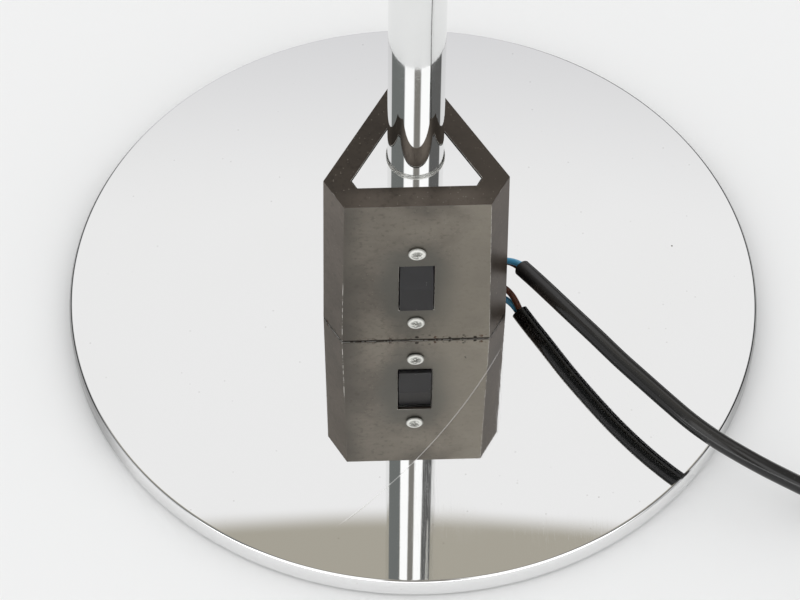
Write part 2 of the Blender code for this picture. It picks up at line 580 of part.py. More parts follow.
def make_rocker(axis, web_half):
    """Two sloping halves that meet in a ridge, on a web that turns on the pin. At rest its top is pressed in."""
    plastic = looks["black_plastic"]
    slope = math.tan(math.radians(ROCKER_ANGLE))
    half = SWITCH_HEIGHT / 2 - ROCKER_END_GAP
    ridge, cap = -ROCKER_PIVOT_DEPTH, ROCKER_CAP
    end = ridge + half * slope
    outline = [
        (ridge, 0), (end, half), (end + cap, half), (ridge + cap, 0), (end + cap, -half), (end, -half),
    ]
    # The outline's first coordinate is the depth behind the pin, its second is the height above it.
    stand = Matrix(((0, 0, 1, 0), (1, 0, 0, 0), (0, 1, 0, 0), (0, 0, 0, 1)))
    rest = Matrix.Translation(axis) @ Matrix.Rotation(math.radians(-ROCKER_ANGLE), 4, "X") @ stand
    rocker = slab("rocker", outline, SWITCH_WIDTH - 2 * ROCKER_SIDE_GAP, plastic, rest)
    lobe = ROCKER_PIN / 2 + GAP + SWITCH_WALL
    web = [(ridge + cap / 2, lobe * 1.4), (ridge + cap / 2, -lobe * 1.4)]
    web += [
        (lobe * math.sin(math.radians(angle)), -lobe * math.cos(math.radians(angle)))
        for angle in range(0, 181, 30)
    ]
    join(rocker, slab("rocker_web", web, 2 * (web_half - GAP), plastic, rest))
    cut(rocker, rod("rocker_bore", ROCKER_PIN + 2 * GAP, SWITCH_WIDTH, plastic,
                    rest @ Matrix.Translation((0, 0, -SWITCH_WIDTH / 2)), steps=14))
    pivot("rocker_axis", axis, rocker)


# ---------------------------------------------------------------- the wiring in the housing


def make_wiring():
    hole = face_frame(CORD_HOLE_OFFSET, DISC_TOP + CORD_HOLE_HEIGHT)
    inner_wall = HOUSING_WALL + HOUSING_DRAFT
    lip = GROMMET_LIP_THICKNESS
    half_bore = GROMMET_BORE / 2
    profile = [
        (half_bore, GAP + lip), (GROMMET_LIP / 2, GAP + lip), (GROMMET_LIP / 2, GAP),
        (CORD_HOLE / 2 - GAP, GAP), (CORD_HOLE / 2 - GAP, -inner_wall - GAP),
        (GROMMET_LIP / 2, -inner_wall - GAP),
        (GROMMET_LIP / 2, -inner_wall - GAP - lip), (half_bore, -inner_wall - GAP - lip),
    ]
    turned("cord_grommet", profile, looks["black_pvc"], hole, steps=20)

    block_near = STEM_RADIUS + SWITCH_STEM_CLEARANCE
    block_far = HOUSING_FACE - inner_wall - 2 * GAP - lip - BLOCK_CLEARANCE
    block_frame = face_frame(CORD_HOLE_OFFSET, DISC_TOP + CORD_HOLE_HEIGHT, 0)
    box("terminal_block", (-BLOCK_WIDTH / 2, -BLOCK_HEIGHT / 2, block_near),
        (BLOCK_WIDTH / 2, BLOCK_HEIGHT / 2, block_far), looks["white_plastic"], block_frame, bevel=BLOCK_BEVEL)

    # The two cores come out of the grommet and bend through a quarter turn into the cut sheath.
    start = Vector(CORD_ROUTE[0])
    onward = (Vector(CORD_ROUTE[1]) - start).normalized()
    outward = hole.to_3x3() @ Vector((0, 0, 1))
    above = onward.cross(Vector((0, 0, 1))).cross(onward).normalized()
    for name, sign in (("wire_blue", 1), ("wire_brown", -1)):
        lift = Vector((0, 0, sign * CORE_SPACING / 2))
        mouth = hole.translation + lift
        end = start + above * sign * CORE_SPACING / 2 - onward * 2 * GAP
        route = [block_frame @ Vector((0, sign * CORE_SPACING / 2, block_far + GAP)), mouth]
        bend_start = mouth + outward * CORE_STRAIGHT
        corner = mouth + outward * CORE_BEND + CORE_SPREAD * sign
        for step in range(1, 6):
            t = step / 6
            route.append(bend_start * (1 - t) ** 2 + corner * 2 * t * (1 - t) + end * t**2)
        route.append(end)
        tube(name, smooth_line(route, 0.0032), CORE_DIAMETER, looks[name.replace("wire_", "") + "_core"])

    x = SWITCH_WIDTH / 2 + TERMINAL_LENGTH + GAP
    terminal_y = -(STEM_RADIUS + SWITCH_STEM_CLEARANCE) - GAP - TERMINAL_WIDTH / 2
    lead_radius = LEAD_DIAMETER / 2
    block_top = block_frame @ Vector((0, 0, (block_near + block_far) / 2))
    block_top.z = DISC_TOP + CORD_HOLE_HEIGHT + BLOCK_HEIGHT / 2 + GAP
    live_z, load_z = (SWITCH_HEIGHT_Z + s * TERMINAL_SPACING / 2 for s in (-1, 1))
    corner = Vector((math.cos(math.radians(-30)), math.sin(math.radians(-30)), 0))
    inside = corner * (STEM_BORE_RADIUS - GAP - lead_radius)
    outside = corner * (STEM_RADIUS + 0.005)
    hole_z = DISC_TOP + LEAD_HOLE_HEIGHT
    across = Vector((-corner.y, corner.x, 0)) * (lead_radius + GAP)
    along = face_frame(0, 0, 0).to_3x3() @ Vector((-BLOCK_WIDTH / 4, 0, 0))

    def lead(name, colour, route):
        tube(name, smooth_line(route, 0.006), LEAD_DIAMETER, looks[colour], bevel_resolution=1)

    first, last = block_top + along, Vector((x + lead_radius, terminal_y, live_z))
    lead("lead_live", "brown_core", [first, first + Vector((0.001, -0.001, 0.006)),
                                     last + Vector((0.006, 0.004, 0)), last])
    first = Vector((x + lead_radius, terminal_y, load_z))
    lead("lead_switched", "brown_core", [first, first + Vector((0.005, 0.001, 0.004)),
                                         outside - across + Vector((0, 0, hole_z)),
                                         inside - across + Vector((0, 0, hole_z))])
    first = block_top - along
    lead("lead_neutral", "blue_core", [first, first + Vector((0.001, 0.0, 0.012)),
                                       outside + across + Vector((0.003, 0.003, hole_z - 0.014)),
                                       outside + across + Vector((0, 0, hole_z)),
                                       inside + across + Vector((0, 0, hole_z))])


# ---------------------------------------------------------------- the swivel head and the arc


def arc_line():
    """The arc's centreline: straight out of the swivel head, then an ellipse over to the shade."""
    tail = HEAD_BASE + HEAD_LEDGE + GAP
    spring = HEAD_TOP + ARC_STRAIGHT
    points = [Vector((0, 0, tail)), Vector((0, 0, (tail + spring) / 2))]
    for i in range(ARC_POINTS + 1):
        angle = math.radians(180 - (180 - ARC_END_ANGLE) * i / ARC_POINTS)
        points.append(Vector((ARC_REACH * (1 + math.cos(angle)), 0, spring + ARC_RISE * math.sin(angle))))
    return points


def make_swivel():
    tail_bore = ARC_RADIUS + GAP
    bush_radius = tail_bore + BUSH_WALL
    bush_base = HEAD_HEIGHT - BUSH_DEPTH
    outer, chamfer = HEAD_DIAMETER / 2, HEAD_CHAMFER
    cable = HEAD_CABLE_BORE / 2
    profile = [
        (bush_radius + GAP, HEAD_HEIGHT), (outer - chamfer, HEAD_HEIGHT), (outer, HEAD_HEIGHT - chamfer),
        (outer, chamfer), (outer - chamfer, 0), (SPIGOT_RADIUS, 0), (SPIGOT_RADIUS, -HEAD_SPIGOT),
        (cable, -HEAD_SPIGOT), (cable, HEAD_LEDGE), (tail_bore, HEAD_LEDGE), (tail_bore, bush_base),
        (bush_radius + GAP, bush_base),
    ]
    head = turned("swivel_head", profile, looks["chrome"], Matrix.Translation((0, 0, HEAD_BASE)), steps=24)
    outward = facing((-1, 0, 0))
    cut(head, rod("clamp_hole", CLAMP_SHANK + 2 * GAP, HEAD_DIAMETER, looks["chrome"],
                  Matrix.Translation((0, 0, CLAMP_Z)) @ outward, steps=16))
    flange = BUSH_FLANGE + GAP
    bush = [
        (tail_bore, BUSH_DEPTH + flange), (outer - chamfer, BUSH_DEPTH + flange),
        (outer - chamfer, BUSH_DEPTH + GAP), (bush_radius, BUSH_DEPTH + GAP), (bush_radius, GAP),
        (tail_bore, GAP),
    ]
    turned("swivel_bush", bush, looks["nylon"], Matrix.Translation((0, 0, HEAD_BASE + bush_base)), steps=24)

    tip = ARC_RADIUS + GAP
    shoulder = outer + GAP
    knob, neck = CLAMP_KNOB / 2, CLAMP_KNOB / 2 * 0.55
    start, soft = shoulder + CLAMP_NECK_LENGTH, SMALL_CHAMFER
    end = start + CLAMP_KNOB_LENGTH
    profile = [
        (0, end), (knob - soft, end), (knob, end - soft), (knob, start + soft), (knob - soft, start),
        (neck, start), (neck, shoulder), (CLAMP_SHANK / 2, shoulder), (CLAMP_SHANK / 2, tip), (0, tip),
    ]
    seat = Matrix.Translation((0, 0, CLAMP_Z)) @ outward
    screw = turned("clamp_screw", profile, looks["chrome"], seat, steps=18)
    pivot("clamp_axis", Vector((0, 0, CLAMP_Z)), screw)


def make_arm():
    line = arc_line()
    arc = tube("arc_tube", line, ARC_DIAMETER, looks["chrome"], bevel_resolution=4, wall=ARC_WALL)
    cable_line = line[:-3]
    cable = tube("arc_cable", cable_line[::2] + [cable_line[-1]], CABLE_DIAMETER, looks["black_pvc"], 1)

    end = line[-1]
    along = (line[-1] - line[-2]).normalized()
    hinge = end + along * (GAP + FITTING_COLLAR_LENGTH + HINGE_REACH)
    frame = Matrix.Translation(end) @ facing(along)
    spigot, collar = ARC_RADIUS - ARC_WALL - GAP, FITTING_COLLAR / 2
    top, collar_end = -FITTING_SPIGOT, GAP + FITTING_COLLAR_LENGTH
    soft = SMALL_CHAMFER
    profile = [
        (0, collar_end), (collar - soft, collar_end), (collar, collar_end - soft), (collar, GAP), (spigot, GAP),
        (spigot, top), (0, top),
    ]
    fitting = turned("end_fitting", profile, looks["chrome"], frame, steps=24)
    half = TONGUE_WIDTH / 2
    reach = GAP + FITTING_COLLAR_LENGTH + HINGE_REACH
    outline = [(-half, GAP + FITTING_COLLAR_LENGTH / 2)]
    outline += [
        (-half * math.cos(math.radians(a)), reach + half * math.sin(math.radians(a)))
        for a in range(0, 181, 20)
    ]
    outline += [(half, GAP + FITTING_COLLAR_LENGTH / 2)]
    # The outline's second coordinate runs out of the arc, and its thickness is along Y.
    side = Vector((0, 1, 0)).cross(along).normalized()
    stand = Matrix((side, along, side.cross(along))).transposed().to_4x4()
    join(fitting, slab("fitting_tongue", outline, TONGUE_THICKNESS, looks["chrome"],
                       Matrix.Translation(end) @ stand))
    across = facing((0, 1, 0))
    cut(fitting, rod("tongue_hole", TILT_BOLT + 2 * GAP, 4 * TONGUE_THICKNESS, looks["chrome"],
                     Matrix.Translation(hinge - Vector((0, 2 * TONGUE_THICKNESS, 0))) @ across, steps=16))
    washers = []
    for name, y in (("tilt_washer_left", -TONGUE_THICKNESS / 2 - GAP - TILT_WASHER_THICKNESS),
                    ("tilt_washer_right", TONGUE_THICKNESS / 2 + GAP)):
        washers.append(sleeve(name, TONGUE_WIDTH, TILT_BOLT + 2 * GAP, TILT_WASHER_THICKNESS, looks["nylon"],
                              Matrix.Translation(hinge + Vector((0, y, 0))) @ across, steps=20))
    pivot("swivel_axis", Vector((0, 0, HEAD_TOP)), arc, cable, fitting, *washers)
    return hinge


# ---------------------------------------------------------------- the shade and the lamp


def make_shade(hinge):
    down = Matrix.Translation(hinge)
    across = facing((0, 1, 0))
    cheek_inner = TONGUE_THICKNESS / 2 + 2 * GAP + TILT_WASHER_THICKNESS
    cheek_outer = cheek_inner + CHEEK_THICKNESS
    fork_top, fork_base = -FORK_THROAT, -FORK_THROAT - FORK_LENGTH
    radius = FORK_DIAMETER / 2
    soft = SMALL_CHAMFER
    profile = [
        (0, fork_top), (radius - soft, fork_top), (radius, fork_top - soft), (radius, fork_base + soft / 2),
        (radius - soft / 2, fork_base), (0, fork_base),
    ]
    fork = turned("shade_fork", profile, looks["chrome"], down, steps=24)
    half = CHEEK_WIDTH / 2
    outline = [(half, -FORK_THROAT - FORK_LENGTH / 2)]
    outline += [
        (half * math.cos(math.radians(a)), half * math.sin(math.radians(a))) for a in range(0, 181, 20)
    ]
    outline += [(-half, -FORK_THROAT - FORK_LENGTH / 2)]
    stand = Matrix(((1, 0, 0, 0), (0, 0, -1, 0), (0, 1, 0, 0), (0, 0, 0, 1)))
    for name, side in (("fork_cheek_left", -1), ("fork_cheek_right", 1)):
        shift = Matrix.Translation((0, side * (cheek_inner + cheek_outer) / 2, 0))
        join(fork, slab(name, outline, CHEEK_THICKNESS, looks["chrome"], down @ shift @ stand))
    bore = TILT_BOLT + 2 * GAP
    cut(fork, rod("fork_hole", bore, 6 * cheek_outer, looks["chrome"],
                  down @ Matrix.Translation((0, -3 * cheek_outer, 0)) @ across, steps=16))
    cut(fork, rod("fork_thread", NIPPLE_DIAMETER + 2 * GAP, FORK_LENGTH, looks["chrome"],
                  down @ Matrix.Translation((0, 0, fork_base - FORK_LENGTH / 3)), steps=20))

    head_y = -cheek_outer - GAP
    tip_y = cheek_outer + GAP + TILT_KNOB_LENGTH
    bolt, head = TILT_BOLT / 2, TILT_BOLT_HEAD / 2
    head_end = head_y - TILT_BOLT_HEAD_HEIGHT
    profile = [
        (0, tip_y), (bolt, tip_y), (bolt, head_y), (head, head_y), (head, head_end + soft), (head - soft, head_end),
        (0, head_end),
    ]
    tilt_bolt = turned("tilt_bolt", profile, looks["nickel"], down @ across, steps=20)
    knob = TILT_KNOB / 2
    profile = [
        (bore / 2, TILT_KNOB_LENGTH), (knob - soft, TILT_KNOB_LENGTH), (knob, TILT_KNOB_LENGTH - soft),
        (knob, 0.003), (knob * 0.6, 0.0015), (knob * 0.6, 0), (bore / 2, 0),
    ]
    knob_seat = Matrix.Translation(hinge + Vector((0, cheek_outer + GAP, 0))) @ across
    tilt_knob = turned("tilt_knob", profile, looks["chrome"], knob_seat, steps=24)

    # From here down, each height is measured below the hinge.
    cap_top = fork_base - GAP
    cap_radius, nipple_bore = CAP_DIAMETER / 2, NIPPLE_DIAMETER / 2 + GAP
    profile = [
        (nipple_bore, cap_top), (radius + 0.002, cap_top), (cap_radius * 0.8, cap_top - CAP_DROP * 0.35),
        (cap_radius, cap_top - CAP_DROP), (cap_radius - CAP_THICKNESS, cap_top - CAP_DROP),
        (cap_radius * 0.8 - CAP_THICKNESS / 2, cap_top - CAP_DROP * 0.35 - CAP_THICKNESS),
        (radius, cap_top - CAP_THICKNESS), (nipple_bore, cap_top - CAP_THICKNESS),
    ]
    cap = turned("shade_cap", profile, looks["chrome"], down, steps=28)

    shade_top = cap_top - CAP_DROP - GAP
    top_radius, rim_radius = SHADE_TOP_DIAMETER / 2, SHADE_DIAMETER / 2
    profile = [(nipple_bore, shade_top), (top_radius * 0.5, shade_top), (top_radius, shade_top)]
    for step in range(1, 10):
        angle = math.radians(10 * step)
        profile.append((
            top_radius + (rim_radius - top_radius) * math.sin(angle),
            shade_top - SHADE_HEIGHT * (1 - math.cos(angle)),
        ))
    shade = turned("shade", profile, looks["chrome"], down, steps=40, wall=SHADE_THICKNESS)
    vent_radius = cap_radius + VENT_DIAMETER
    for i in range(SHADE_VENTS):
        angle = 2 * math.pi * (i + 0.5) / SHADE_VENTS
        x, y = vent_radius * math.cos(angle), vent_radius * math.sin(angle)
        centre = Matrix.Translation((x, y, shade_top - 4 * RELIEF))
        cut(shade, rod(f"shade_vent_{i}", VENT_DIAMETER, 7 * RELIEF, looks["chrome"], down @ centre, steps=8))

    nipple_top = fork_base + FORK_LENGTH / 2
    holder_top = shade_top - SHADE_THICKNESS - GAP
    nipple_base = holder_top - HOLDER_CAP_HEIGHT / 2
    nipple = sleeve("shade_nipple", NIPPLE_DIAMETER, NIPPLE_DIAMETER - 2 * NIPPLE_WALL,
                    nipple_top - nipple_base, looks["brass"], down @ Matrix.Translation((0, 0, nipple_base)),
                    steps=16)

    holder = HOLDER_DIAMETER / 2
    cap_base = holder_top - HOLDER_CAP_HEIGHT
    profile = [
        (nipple_bore, holder_top), (holder * 0.55, holder_top), (holder * 0.85, holder_top - 0.005),
        (holder, holder_top - 0.012), (holder, cap_base), (holder - HOLDER_CAP_WALL, cap_base),
        (holder - HOLDER_CAP_WALL, holder_top - 0.0125), (holder * 0.75, holder_top - 0.008),
        (nipple_bore, holder_top - 0.008),
    ]
    holder_cap = turned("lampholder_cap", profile, looks["black_plastic"], down, steps=22)
    body_top = cap_base - GAP
    body_base = body_top - HOLDER_BODY_HEIGHT
    mouth = BULB_CAP_DIAMETER / 2 + GAP + HOLDER_MOUTH_CLEARANCE
    floor = body_top - HOLDER_FLOOR
    profile = [
        (0, body_top), (holder, body_top), (holder, body_top - 4 * soft), (holder - soft, body_top - 5 * soft),
        (holder - soft, body_base + soft), (holder - 2 * soft, body_base), (mouth, body_base), (mouth, floor),
        (0, floor),
    ]
    holder_body = turned("lampholder_body", profile, looks["black_plastic"], down, steps=22)

    bulb_cap_top = floor - 0.0015
    bulb_cap_base = bulb_cap_top - BULB_CAP_LENGTH
    cap_half = BULB_CAP_DIAMETER / 2
    profile = [(0, bulb_cap_top), (0.0045, bulb_cap_top), (0.0055, bulb_cap_top - 0.002),
               (cap_half - 0.001, bulb_cap_top - 0.004)]
    profile += [
        (cap_half - BULB_THREAD_DEPTH * (i % 2), bulb_cap_top - 0.005 - BULB_THREAD_PITCH * i)
        for i in range(5)
    ]
    profile += [(cap_half, bulb_cap_base), (0, bulb_cap_base)]
    bulb_cap = turned("bulb_cap", profile, looks["nickel"], down, steps=18)
    glass_top = bulb_cap_base - GAP
    neck, globe = cap_half - 0.0006, BULB_DIAMETER / 2
    globe_centre = glass_top - BULB_LENGTH + globe
    profile = [(neck, glass_top), (neck + 0.001, glass_top - 0.010), (neck + 0.005, glass_top - 0.022)]
    start = 40
    for step in range(9):
        angle = math.radians(start - (start + 90) * step / 8)
        profile.append((globe * math.cos(angle), globe_centre + globe * math.sin(angle)))
    profile[-1] = (0, profile[-1][1])
    glass = turned("bulb_glass", profile, looks["glass"], down, steps=20, wall=BULB_GLASS)

    pieces = [fork, tilt_bolt, cap, shade, nipple, holder_cap, holder_body, bulb_cap, glass]
    pivot("tilt_axis", hinge, *pieces)
    pivot("tilt_knob_axis", hinge, tilt_knob)


# ---------------------------------------------------------------- the cord


def make_cord():
    spacing = 1.1 * CORD_DIAMETER
    for name, route in (("cord_run", CORD_ROUTE), ("cord_tail", TAIL_ROUTE)):
        tube(name, smooth_line(route, spacing), CORD_DIAMETER, looks["black_pvc"], bevel_resolution=3)

    soft = COIL_EDGE
    height = COIL_TOP - COIL_BASE
    profile = []
    for radius, level, turn in ((COIL_INNER + soft, height - soft, 180), (COIL_OUTER - soft, height - soft, 90),
                                (COIL_OUTER - soft, soft, 0), (COIL_INNER + soft, soft, -90)):
        for step in range(3):
            angle = math.radians(turn - 45 * step)
            profile.append((radius + soft * math.cos(angle), level + soft * math.sin(angle)))
    centre = Matrix.Translation((*COIL_CENTRE, COIL_BASE))
    turned("cord_coil", profile, looks["black_pvc"], centre, steps=32)

    near = COIL_INNER - TIE_SLACK - TIE_WIDTH**2 / (8 * COIL_INNER)
    far = COIL_OUTER + TIE_SLACK
    half = TIE_WIDTH / 2
    tie_frame = Matrix.Translation((*COIL_CENTRE, 0))
    tie = box("cord_tie", (-half, -far - TIE_THICKNESS, 0),
              (half, -near + TIE_THICKNESS, COIL_TOP + GAP + TIE_THICKNESS), looks["black_plastic"], tie_frame)
    cut(tie, box("tie_inside", (-TIE_WIDTH, -far, TIE_THICKNESS), (TIE_WIDTH, -near, COIL_TOP + GAP),
                 looks["black_plastic"], tie_frame))

    end = Vector(TAIL_ROUTE[-1])
    middle_z = PLUG_THICKNESS / 2 + GAP
    along = facing((1, 0, 0))
    start = Vector((end.x + GAP, end.y, middle_z))
    relief, tip = STRAIN_RELIEF_DIAMETER / 2, CORD_DIAMETER / 2 + 0.001
    overlap = 0.004
    profile = [(0, STRAIN_RELIEF_LENGTH + overlap), (relief, STRAIN_RELIEF_LENGTH + overlap),
               (relief, STRAIN_RELIEF_LENGTH * 0.8), (tip, 0), (0, 0)]
    plug = turned("plug_body", profile, looks["black_plastic"], Matrix.Translation(start) @ along, steps=16)
    half, neck = PLUG_WIDTH / 2, PLUG_NECK / 2
    outline = [(0, neck), (PLUG_LENGTH * 0.45, half), (PLUG_LENGTH, half), (PLUG_LENGTH, -half),
               (PLUG_LENGTH * 0.45, -half), (0, -neck)]
    body_start = start + Vector((STRAIN_RELIEF_LENGTH, 0, 0))
    body = slab("plug_shell", outline, PLUG_THICKNESS, looks["black_plastic"], Matrix.Translation(body_start))
    rounded(body, 0.002)
    join(plug, body)
    for name, side in (("plug_pin_left", 1), ("plug_pin_right", -1)):
        seat = body_start + Vector((PLUG_LENGTH + GAP, side * PIN_SPACING / 2, 0))
        pin = PIN_DIAMETER / 2
        profile = [(0, PIN_LENGTH), (pin * 0.6, PIN_LENGTH), (pin, PIN_LENGTH - 0.0012), (pin, 0), (0, 0)]
        turned(name, profile, looks["nickel"], Matrix.Translation(seat) @ along, steps=16)


def smooth_round_pieces():
    for obj in parts.objects:
        if obj.type == "MESH" and any(modifier.type == "SCREW" for modifier in obj.modifiers):
            for modifier in obj.modifiers:
                if modifier.type == "SCREW":
                    modifier.use_smooth_shade = True


clear_scene()
looks = make_looks()
parts = new_collection("arc_floor_lamp")
cutters = new_collection("cutters")
make_base()
make_stem()
make_housing()
make_bracket()
make_switch()
make_wiring()
make_swivel()
make_shade(make_arm())
make_cord()
smooth_round_pieces()
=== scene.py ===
"""Arc floor lamp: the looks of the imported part, its cord, and the studio round it. Metres, +Z up."""

from math import copysign, cos, pi, radians, sin

import bmesh
import bpy
from mathutils import Matrix, Vector


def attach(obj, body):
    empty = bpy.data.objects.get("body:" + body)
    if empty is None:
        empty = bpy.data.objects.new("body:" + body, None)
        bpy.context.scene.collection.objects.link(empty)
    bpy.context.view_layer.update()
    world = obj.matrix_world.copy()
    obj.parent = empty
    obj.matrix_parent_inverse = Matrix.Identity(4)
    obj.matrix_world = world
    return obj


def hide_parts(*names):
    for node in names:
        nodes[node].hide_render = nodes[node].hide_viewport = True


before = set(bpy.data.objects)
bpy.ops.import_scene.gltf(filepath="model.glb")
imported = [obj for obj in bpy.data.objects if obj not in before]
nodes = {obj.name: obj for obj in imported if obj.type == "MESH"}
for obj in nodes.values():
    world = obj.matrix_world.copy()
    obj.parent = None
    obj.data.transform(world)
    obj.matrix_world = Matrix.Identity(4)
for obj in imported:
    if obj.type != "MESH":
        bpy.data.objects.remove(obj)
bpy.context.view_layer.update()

# ---------------------------------------------------------------- sizes that part.py also holds

GAP = 0.0003
DISC_RADIUS, DISC_BASE, DISC_TOP = 0.160, 0.0013, 0.0113
STEM_RADIUS, STEM_BORE, STEM_BASE, STEM_JOINT, STEM_TOP = 0.0125, 0.011, 0.0116, 0.760, 1.470
HOUSING_TOP, FIELD_TOP = 0.1113, 0.1109
SWITCH_Z = 0.0511
SCREW_HEIGHTS = {"upper": 0.07765, "lower": 0.02555}
FRONT = -0.0291
HEAD_BASE, HEAD_HEIGHT = 1.4703, 0.050
SPRING = 1.5453  # where the arc's ellipse starts
ARC_REACH, ARC_RISE, ARC_END_ANGLE = 0.360, 0.320, 25.0
CLAMP_Z = 1.4923
HINGE = Vector((0.69681, 0.0, 1.662606))  # where the shade's hinge is
CORD_DIAMETER = 0.008
COIL_CENTRE = Vector((0.258, -0.195, 0.0))
PLUG_START = Vector((0.3453, -0.144, 0.00715))

CORD_ROUTE = [
    (0.0500, -0.0020, 0.0284), (0.0555, -0.0103, 0.0303), (0.0608, -0.0182, 0.0317),
    (0.0707, -0.0333, 0.0344), (0.0806, -0.0475, 0.0362), (0.0904, -0.0612, 0.0371),
    (0.1002, -0.0736, 0.0376), (0.1100, -0.0851, 0.0372), (0.1200, -0.0956, 0.0360),
    (0.1303, -0.1034, 0.0335), (0.1405, -0.1093, 0.0305), (0.1512, -0.1139, 0.0262),
    (0.1620, -0.1170, 0.0207), (0.1732, -0.1195, 0.0145), (0.1860, -0.1222, 0.0085),
    (0.1990, -0.1252, 0.0051), (0.2110, -0.1283, 0.0043), (0.2225, -0.1312, 0.0043),
    (0.2345, -0.1341, 0.0045), (0.2460, -0.1371, 0.0049),
]
TAIL_ROUTE = [
    (0.2720, -0.1385, 0.0132), (0.2920, -0.1392, 0.0104), (0.3040, -0.1402, 0.0078),
    (0.3180, -0.1418, 0.0062), (0.3320, -0.1432, 0.0068), (0.3450, -0.1440, 0.0072),
]

# ---------------------------------------------------------------- nodes


def node(tree, kind, settings=None, **inputs):
    """A shader node. An input's value is a number, a colour or another node's output."""
    made = tree.nodes.new("ShaderNode" + kind)
    for key, value in (settings or {}).items():
        setattr(made, key, value)
    for key, value in inputs.items():
        socket = made.inputs[int(key[2:])] if key.startswith("in") and key[2:].isdigit() else made.inputs[
            key.replace("_", " ")]
        if isinstance(value, bpy.types.NodeSocket):
            tree.links.new(value, socket)
        else:
            socket.default_value = value
    return made


def math_node(tree, operation, *values):
    made = node(tree, "Math", {"operation": operation}, **{f"in{i}": value for i, value in enumerate(values)})
    return made.outputs[0]


def times(tree, a, b):
    return math_node(tree, "MULTIPLY", a, b)


def scaled(tree, value, factor, added):
    return math_node(tree, "MULTIPLY_ADD", value, factor, added)


def larger(tree, a, b):
    return math_node(tree, "MAXIMUM", a, b)


def apart(tree, a, b=0.0):
    """How far a value is from another, always positive."""
    return math_node(tree, "ABSOLUTE", math_node(tree, "SUBTRACT", a, b))


def length_of(tree, a, b):
    """The length of a vector with two parts."""
    return math_node(tree, "SQRT", math_node(tree, "ADD", times(tree, a, a), times(tree, b, b)))


def xyz(tree, vector):
    return node(tree, "SeparateXYZ", Vector=vector).outputs


def smooth(tree, value, low, high, start=0.0, end=1.0):
    """The value taken smoothly from start, at low, to end, at high."""
    made = node(tree, "MapRange", {"interpolation_type": "SMOOTHSTEP"}, Value=value, From_Min=low,
                From_Max=high, To_Min=start, To_Max=end)
    return made.outputs[0]


def mix(tree, factor, a, b):
    made = node(tree, "Mix", {"data_type": "RGBA"}, Factor=factor)
    for socket, value in ((made.inputs[6], a), (made.inputs[7], b)):
        if isinstance(value, bpy.types.NodeSocket):
            tree.links.new(value, socket)
        else:
            socket.default_value = (*value, 1.0)
    return made.outputs[2]


def noise_of(tree, position, scale, detail=3.0, roughness=0.5, stretch=None, turn=0.0, distortion=0.0):
    """A noise from 0 to 1. With a stretch and a turn about Z it becomes streaks."""
    if stretch:
        position = node(tree, "Mapping", Vector=position, Rotation=(0.0, 0.0, radians(turn)),
                        Scale=stretch).outputs[0]
    made = node(tree, "TexNoise", Vector=position, Scale=scale, Detail=detail, Roughness=roughness,
                Distortion=distortion)
    return made.outputs["Fac"]


def specks(tree, position, scale, size, share):
    """Small round spots: 1 in a spot, 0 elsewhere. Share is how many of the cells have one."""
    cells = node(tree, "TexVoronoi", Vector=position, Scale=scale, Randomness=1.0)
    near = smooth(tree, cells.outputs["Distance"], size * 0.6, size, 1.0, 0.0)
    chosen = node(tree, "SeparateColor", Color=cells.outputs["Color"]).outputs[0]
    return times(tree, near, math_node(tree, "LESS_THAN", chosen, share))


def scratches(tree, position, scale, width, turns):
    """Fine straight scratches in a few directions: 1 on a scratch, 0 elsewhere."""
    total = None
    for i, turn in enumerate(turns):
        streak = noise_of(tree, position, scale, 1.0, 0.4, (1.0, 0.018, 1.0), turn + 0.01)
        line = smooth(tree, apart(tree, streak, 0.5), 0.0, width, 1.0, 0.0)
        patch = smooth(tree, noise_of(tree, position, 9.0 + 2.3 * i, 1.0), 0.52, 0.66)
        line = times(tree, line, patch)
        total = line if total is None else larger(tree, total, line)
    return total


def lighter(colour, factor, added=0.0):
    """A colour times a factor, so darker when that is below 1."""
    return tuple(min(1.0, part * factor + added) for part in colour)


def new_material(name):
    material = bpy.data.materials.new(name)
    material.use_nodes = True
    tree = material.node_tree
    shader = tree.nodes["Principled BSDF"]
    return material, tree, shader, node(tree, "TexCoord").outputs["Object"]


def wire(tree, shader, height=None, strength=0.3, distance=0.0005, **inputs):
    """Sets the shader's inputs, with a bump from a height between 0 and 1."""
    for key, value in inputs.items():
        socket = shader.inputs[key.replace("_", " ")]
        if isinstance(value, bpy.types.NodeSocket):
            tree.links.new(value, socket)
        elif isinstance(value, tuple):
            socket.default_value = (*value, 1.0) if len(value) == 3 else value
        else:
            socket.default_value = value
    if height is not None:
        bump = node(tree, "Bump", Strength=strength, Distance=distance, Height=height)
        tree.links.new(bump.outputs[0], shader.inputs["Normal"])


# ---------------------------------------------------------------- materials


def chrome_look(name, colour, dull=0.05, wear=0.3, scale=60.0):
    """Polished chrome with a trace of haze and hair scratches."""
    material, tree, shader, position = new_material(name)
    haze = noise_of(tree, position, scale, 4.0)
    lines = scratches(tree, position, 700.0, 0.012, (12, 78, 133))
    cloud = smooth(tree, haze, 0.35, 0.75)
    tone = mix(tree, times(tree, cloud, 0.25), colour, lighter(colour, 0.93))
    rough = scaled(tree, cloud, dull * 0.5, dull * 0.5)
    rough = scaled(tree, lines, wear * 0.5, rough)
    wire(tree, shader, lines, 0.12 * wear, 0.00005, Base_Color=tone, Metallic=1.0, Roughness=rough)
    return material


